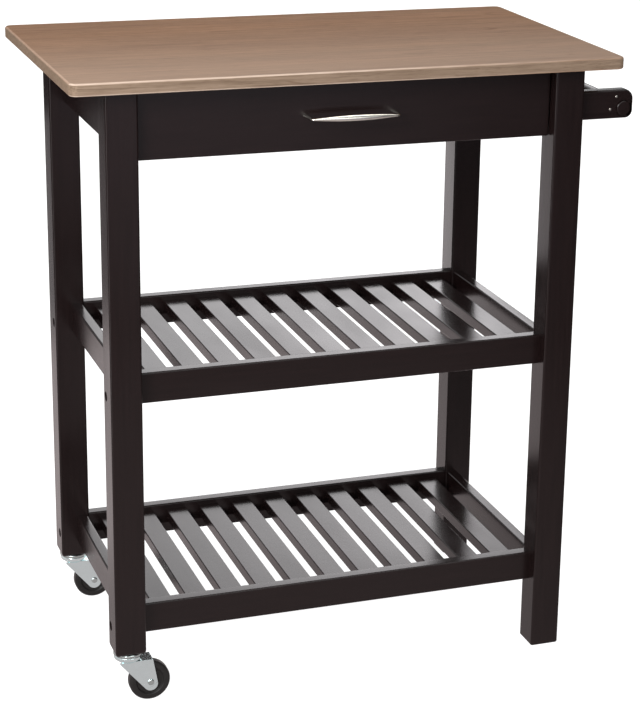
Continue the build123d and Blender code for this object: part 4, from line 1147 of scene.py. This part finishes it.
backdrop_finish, tree, shader, place = glowing("pale_backdrop", WHITE)
shader.inputs["Emission Strength"].default_value = BACKDROP_GLOW
backdrop_finish.cycles.emission_sampling = "NONE"
bpy.ops.object.select_all(action="DESELECT")
bpy.ops.mesh.primitive_cylinder_add(
    vertices=BACKDROP_SIDES,
    radius=BACKDROP_AWAY,
    depth=BACKDROP_HIGH,
    end_fill_type="NOTHING",
    location=(0, 0, BACKDROP_HIGH / 2),
)
backdrop = bpy.context.object
backdrop.name = "pale_backdrop"
bpy.ops.object.transform_apply(location=True, rotation=True, scale=True)
backdrop.data.materials.append(backdrop_finish)
backdrop.visible_glossy = False
backdrop.visible_diffuse = False
backdrop.visible_shadow = False
print("backdrop", BACKDROP_AWAY, "m away")

# %% [markdown]
# The mirrored floor is dim in front, with a darker strip across it two metres out, and it darkens to the
# right. It is brightest just behind the trolley and ends in the dark studio. A low screen stands at its
# rear edge, and its left end fades out.

# %% The floor that only reflections see
FLOOR_TINT = (1.0, 0.88, 0.88)
FRONT_GLOW = 0.62
BEHIND_RISE = ((0.05, 0.60), (0.92, 1.50))
STUDIO_EDGE = ((1.30, 1.85), (1.0, 0.17))
FAR_BEHIND = ((2.90, 3.90), (1.0, 0.40))
STRIP_NEAR = ((-1.95, -0.95), (0.45, 1.0))
STRIP_FAR = ((-3.60, -2.20), (1.0, 0.0))
STRIP_GAIN = 0.70
RIGHT_LEAN = 0.305
RIGHT_FADE = ((0.0, 0.9), (1.0, 0.10))
LEFT_FADE = ((-1.60, -1.15), (0.20, 1.0))
FAR_TINT = (0.95, 0.90, 1.0)
AHEAD = (-0.3, 0.2)
MIRROR_DROP = 0.001

mirror_finish, tree, shader, place = glowing("mirrored_floor", FLOOR_TINT)
glow = times(tree, FRONT_GLOW, gate(tree, place["Y"], *BEHIND_RISE))
glow = times(tree, glow, gate(tree, place["Y"], *STUDIO_EDGE))
glow = times(tree, glow, gate(tree, place["Y"], *FAR_BEHIND))
strip = plus(tree, gate(tree, place["Y"], *STRIP_NEAR), gate(tree, place["Y"], *STRIP_FAR), STRIP_GAIN)
glow = times(tree, glow, strip)
leaning = plus(tree, place["X"], place["Y"], RIGHT_LEAN)
ahead = gate(tree, place["Y"], AHEAD)
right = plus(tree, leaning, ahead, -1.0)
glow = times(tree, glow, gate(tree, right, *RIGHT_FADE))
glow = times(tree, glow, gate(tree, place["X"], *LEFT_FADE))
tree.links.new(glow, shader.inputs["Emission Strength"])
tint = mixed(tree, gate(tree, place["Y"], *STRIP_FAR), FLOOR_TINT, FAR_TINT)
tree.links.new(tint, shader.inputs["Emission Color"])
mirrored_floor = stand("mirrored_floor", mirror_finish, (0.0, 0.0, -MIRROR_DROP))
only_mirrored(mirrored_floor)
print("mirrored floor, glow", FRONT_GLOW, "in front")

# %% The low screen that only reflections see
SCREEN_COLOUR = (1.0, 0.93, 0.94)
SCREEN_PLACE = 1.5
SCREEN_SIZE = (4.0, 0.5)
SCREEN_END = ((-0.66, -0.26), (0.2, 2.0))

screen_finish, tree, shader, place = glowing("low_screen", SCREEN_COLOUR)
tree.links.new(gate(tree, place["X"], *SCREEN_END), shader.inputs["Emission Strength"])
screen = stand(
    "low_screen",
    screen_finish,
    (SCREEN_END[0][0] + SCREEN_SIZE[0] / 2, SCREEN_PLACE, SCREEN_SIZE[1] / 2),
    (math.pi / 2, 0.0, 0.0),
    SCREEN_SIZE,
)
only_mirrored(screen)
print("low screen", SCREEN_SIZE, "m")

# %% [markdown]
# The rounded corners of the legs turn their mirror line right round the room. In the photo they show a dark
# line and beside it a light one, so a narrow light stands to the left and in front, where only those rounds
# mirror it.

# %% The narrow light at the left
STRIP_LIGHT = 3.2
STRIP_TOWARDS = math.radians(-122.0)
STRIP_AWAY = 1.25
STRIP_SIZE = (0.55, 0.95)
STRIP_LEFT = 0.35
STRIP_COLOUR = (1.0, 0.97, 0.98)

strip_finish, tree, shader, place = glowing("side_strip", STRIP_COLOUR)
shader.inputs["Emission Strength"].default_value = STRIP_LIGHT
strip_x = STRIP_AWAY * math.sin(STRIP_TOWARDS) - STRIP_LEFT
strip_y = STRIP_AWAY * math.cos(STRIP_TOWARDS)
strip = stand(
    "side_strip",
    strip_finish,
    (strip_x, strip_y, STRIP_SIZE[1] / 2),
    (math.pi / 2, 0.0, -STRIP_TOWARDS),
    STRIP_SIZE,
)
only_mirrored(strip)
print("side strip", STRIP_SIZE, "m")

# %% [markdown]
# A soft box stands above and to the left. It makes the top brightest at its front left corner and lets it
# fade to the rear right, as in the photo.

# %% The soft box
SOFT_PLACE = Vector((-1.55, -1.45, 1.8))
SOFT_TARGET = Vector((-0.1, 0.0, 0.9))
SOFT_SIZE = 0.9
SOFT_WATTS = 58.0

bpy.ops.object.light_add(type="AREA", location=SOFT_PLACE)
soft_box = bpy.context.object
soft_box.name = "soft_box"
soft_box.data.size = SOFT_SIZE
soft_box.data.energy = SOFT_WATTS
soft_box.rotation_euler = (SOFT_TARGET - SOFT_PLACE).to_track_quat("-Z", "Y").to_euler()
print("soft box", SOFT_WATTS, "watts")

# %% [markdown]
# The room above is a soft grey-white, darker near the horizon. The bright screen behind grows brighter to
# the right. The room is dark at the front right, which the right half of the handle shows. A small bright
# light overhead draws the thin bright lines on the rounded edges.

# %% Levels of the room, the screen and the lights
ROOM_LEVELS = ((0.05, 0.45), (0.35, 0.80))
SCREEN_LIGHT = 5.7
SCREEN_LEFT = (math.radians(-6.0), math.radians(36.0))
SCREEN_RIGHT = (math.radians(24.5), math.radians(26.5))
SCREEN_LOW = (0.185, 0.27)
SCREEN_HIGH = (0.20, 0.82)
SKY_COLOUR = (1.0, 0.95, 0.985)
FRONT_LIGHT = 2.7
FRONT_TURN = math.radians(197.0)
FRONT_WIDE = (0.775, 0.81)
FRONT_LOW = (0.0, 0.08)
FRONT_HIGH = (0.50, 0.70)
DIM_FROM = (math.radians(75.0), math.radians(100.0))
DIM_TO = (math.radians(155.0), math.radians(160.0))
DIM_HIGH = (0.55, 0.80)
DIM_SHARE = 0.85
OVERHEAD_LIGHT = 4.0
OVERHEAD_TOWARDS = Vector((0.30, -0.34, 0.89)).normalized()
OVERHEAD_WIDE = (math.cos(math.radians(11.0)), math.cos(math.radians(8.0)))
print("room", ROOM_LEVELS[1], "screen", SCREEN_LIGHT, "overhead", OVERHEAD_LIGHT)

# %% [markdown]
# The room has no walls. It is a background whose brightness depends on the direction, read from the height
# of the direction and from its turn about the upright axis.

# %% The room behind the trolley and above it
world = bpy.data.worlds.new("white_room")
scene.world = world
world.use_nodes = True
tree = world.node_tree
background = tree.nodes["Background"]
direction = node(tree, "ShaderNodeTexCoord").outputs["Generated"]
parts = node(tree, "ShaderNodeSeparateXYZ")
tree.links.new(direction, parts.inputs[0])
azimuth = node(tree, "ShaderNodeMath", operation="ARCTAN2")
tree.links.new(parts.outputs["X"], azimuth.inputs[0])
tree.links.new(parts.outputs["Y"], azimuth.inputs[1])
panel = gate(tree, azimuth.outputs["Value"], SCREEN_LEFT)
panel = times(tree, panel, gate(tree, azimuth.outputs["Value"], SCREEN_RIGHT, (1.0, 0.0)))
panel = times(tree, panel, gate(tree, parts.outputs["Z"], SCREEN_LOW))
panel = times(tree, panel, gate(tree, parts.outputs["Z"], SCREEN_HIGH, (1.0, 0.0)))


def facing(towards):
    """How nearly a direction points one way."""
    made = node(tree, "ShaderNodeVectorMath", operation="DOT_PRODUCT")
    made.inputs[1].default_value = towards
    tree.links.new(direction, made.inputs[0])
    return made.outputs["Value"]


overhead = gate(tree, facing(OVERHEAD_TOWARDS), OVERHEAD_WIDE)
front_light = gate(tree, facing((math.sin(FRONT_TURN), math.cos(FRONT_TURN), 0.0)), FRONT_WIDE)
front_light = times(tree, front_light, gate(tree, parts.outputs["Z"], FRONT_LOW))
front_light = times(tree, front_light, gate(tree, parts.outputs["Z"], FRONT_HIGH, (1.0, 0.0)))
room = gate(tree, parts.outputs["Z"], *ROOM_LEVELS)
dim = times(tree, room, gate(tree, azimuth.outputs["Value"], DIM_FROM))
dim = times(tree, dim, gate(tree, azimuth.outputs["Value"], DIM_TO, (1.0, 0.0)))
dim = times(tree, dim, gate(tree, parts.outputs["Z"], DIM_HIGH, (1.0, 0.0)))
room = plus(tree, room, dim, -DIM_SHARE)
lit = plus(tree, room, panel, SCREEN_LIGHT - ROOM_LEVELS[1][1])
lit = plus(tree, lit, front_light, FRONT_LIGHT - ROOM_LEVELS[1][1])
lit = plus(tree, lit, overhead, OVERHEAD_LIGHT)
tree.links.new(lit, background.inputs["Strength"])
tree.links.new(mixed(tree, panel, WHITE, SKY_COLOUR), background.inputs["Color"])
print(world.name, len(tree.nodes), "nodes")
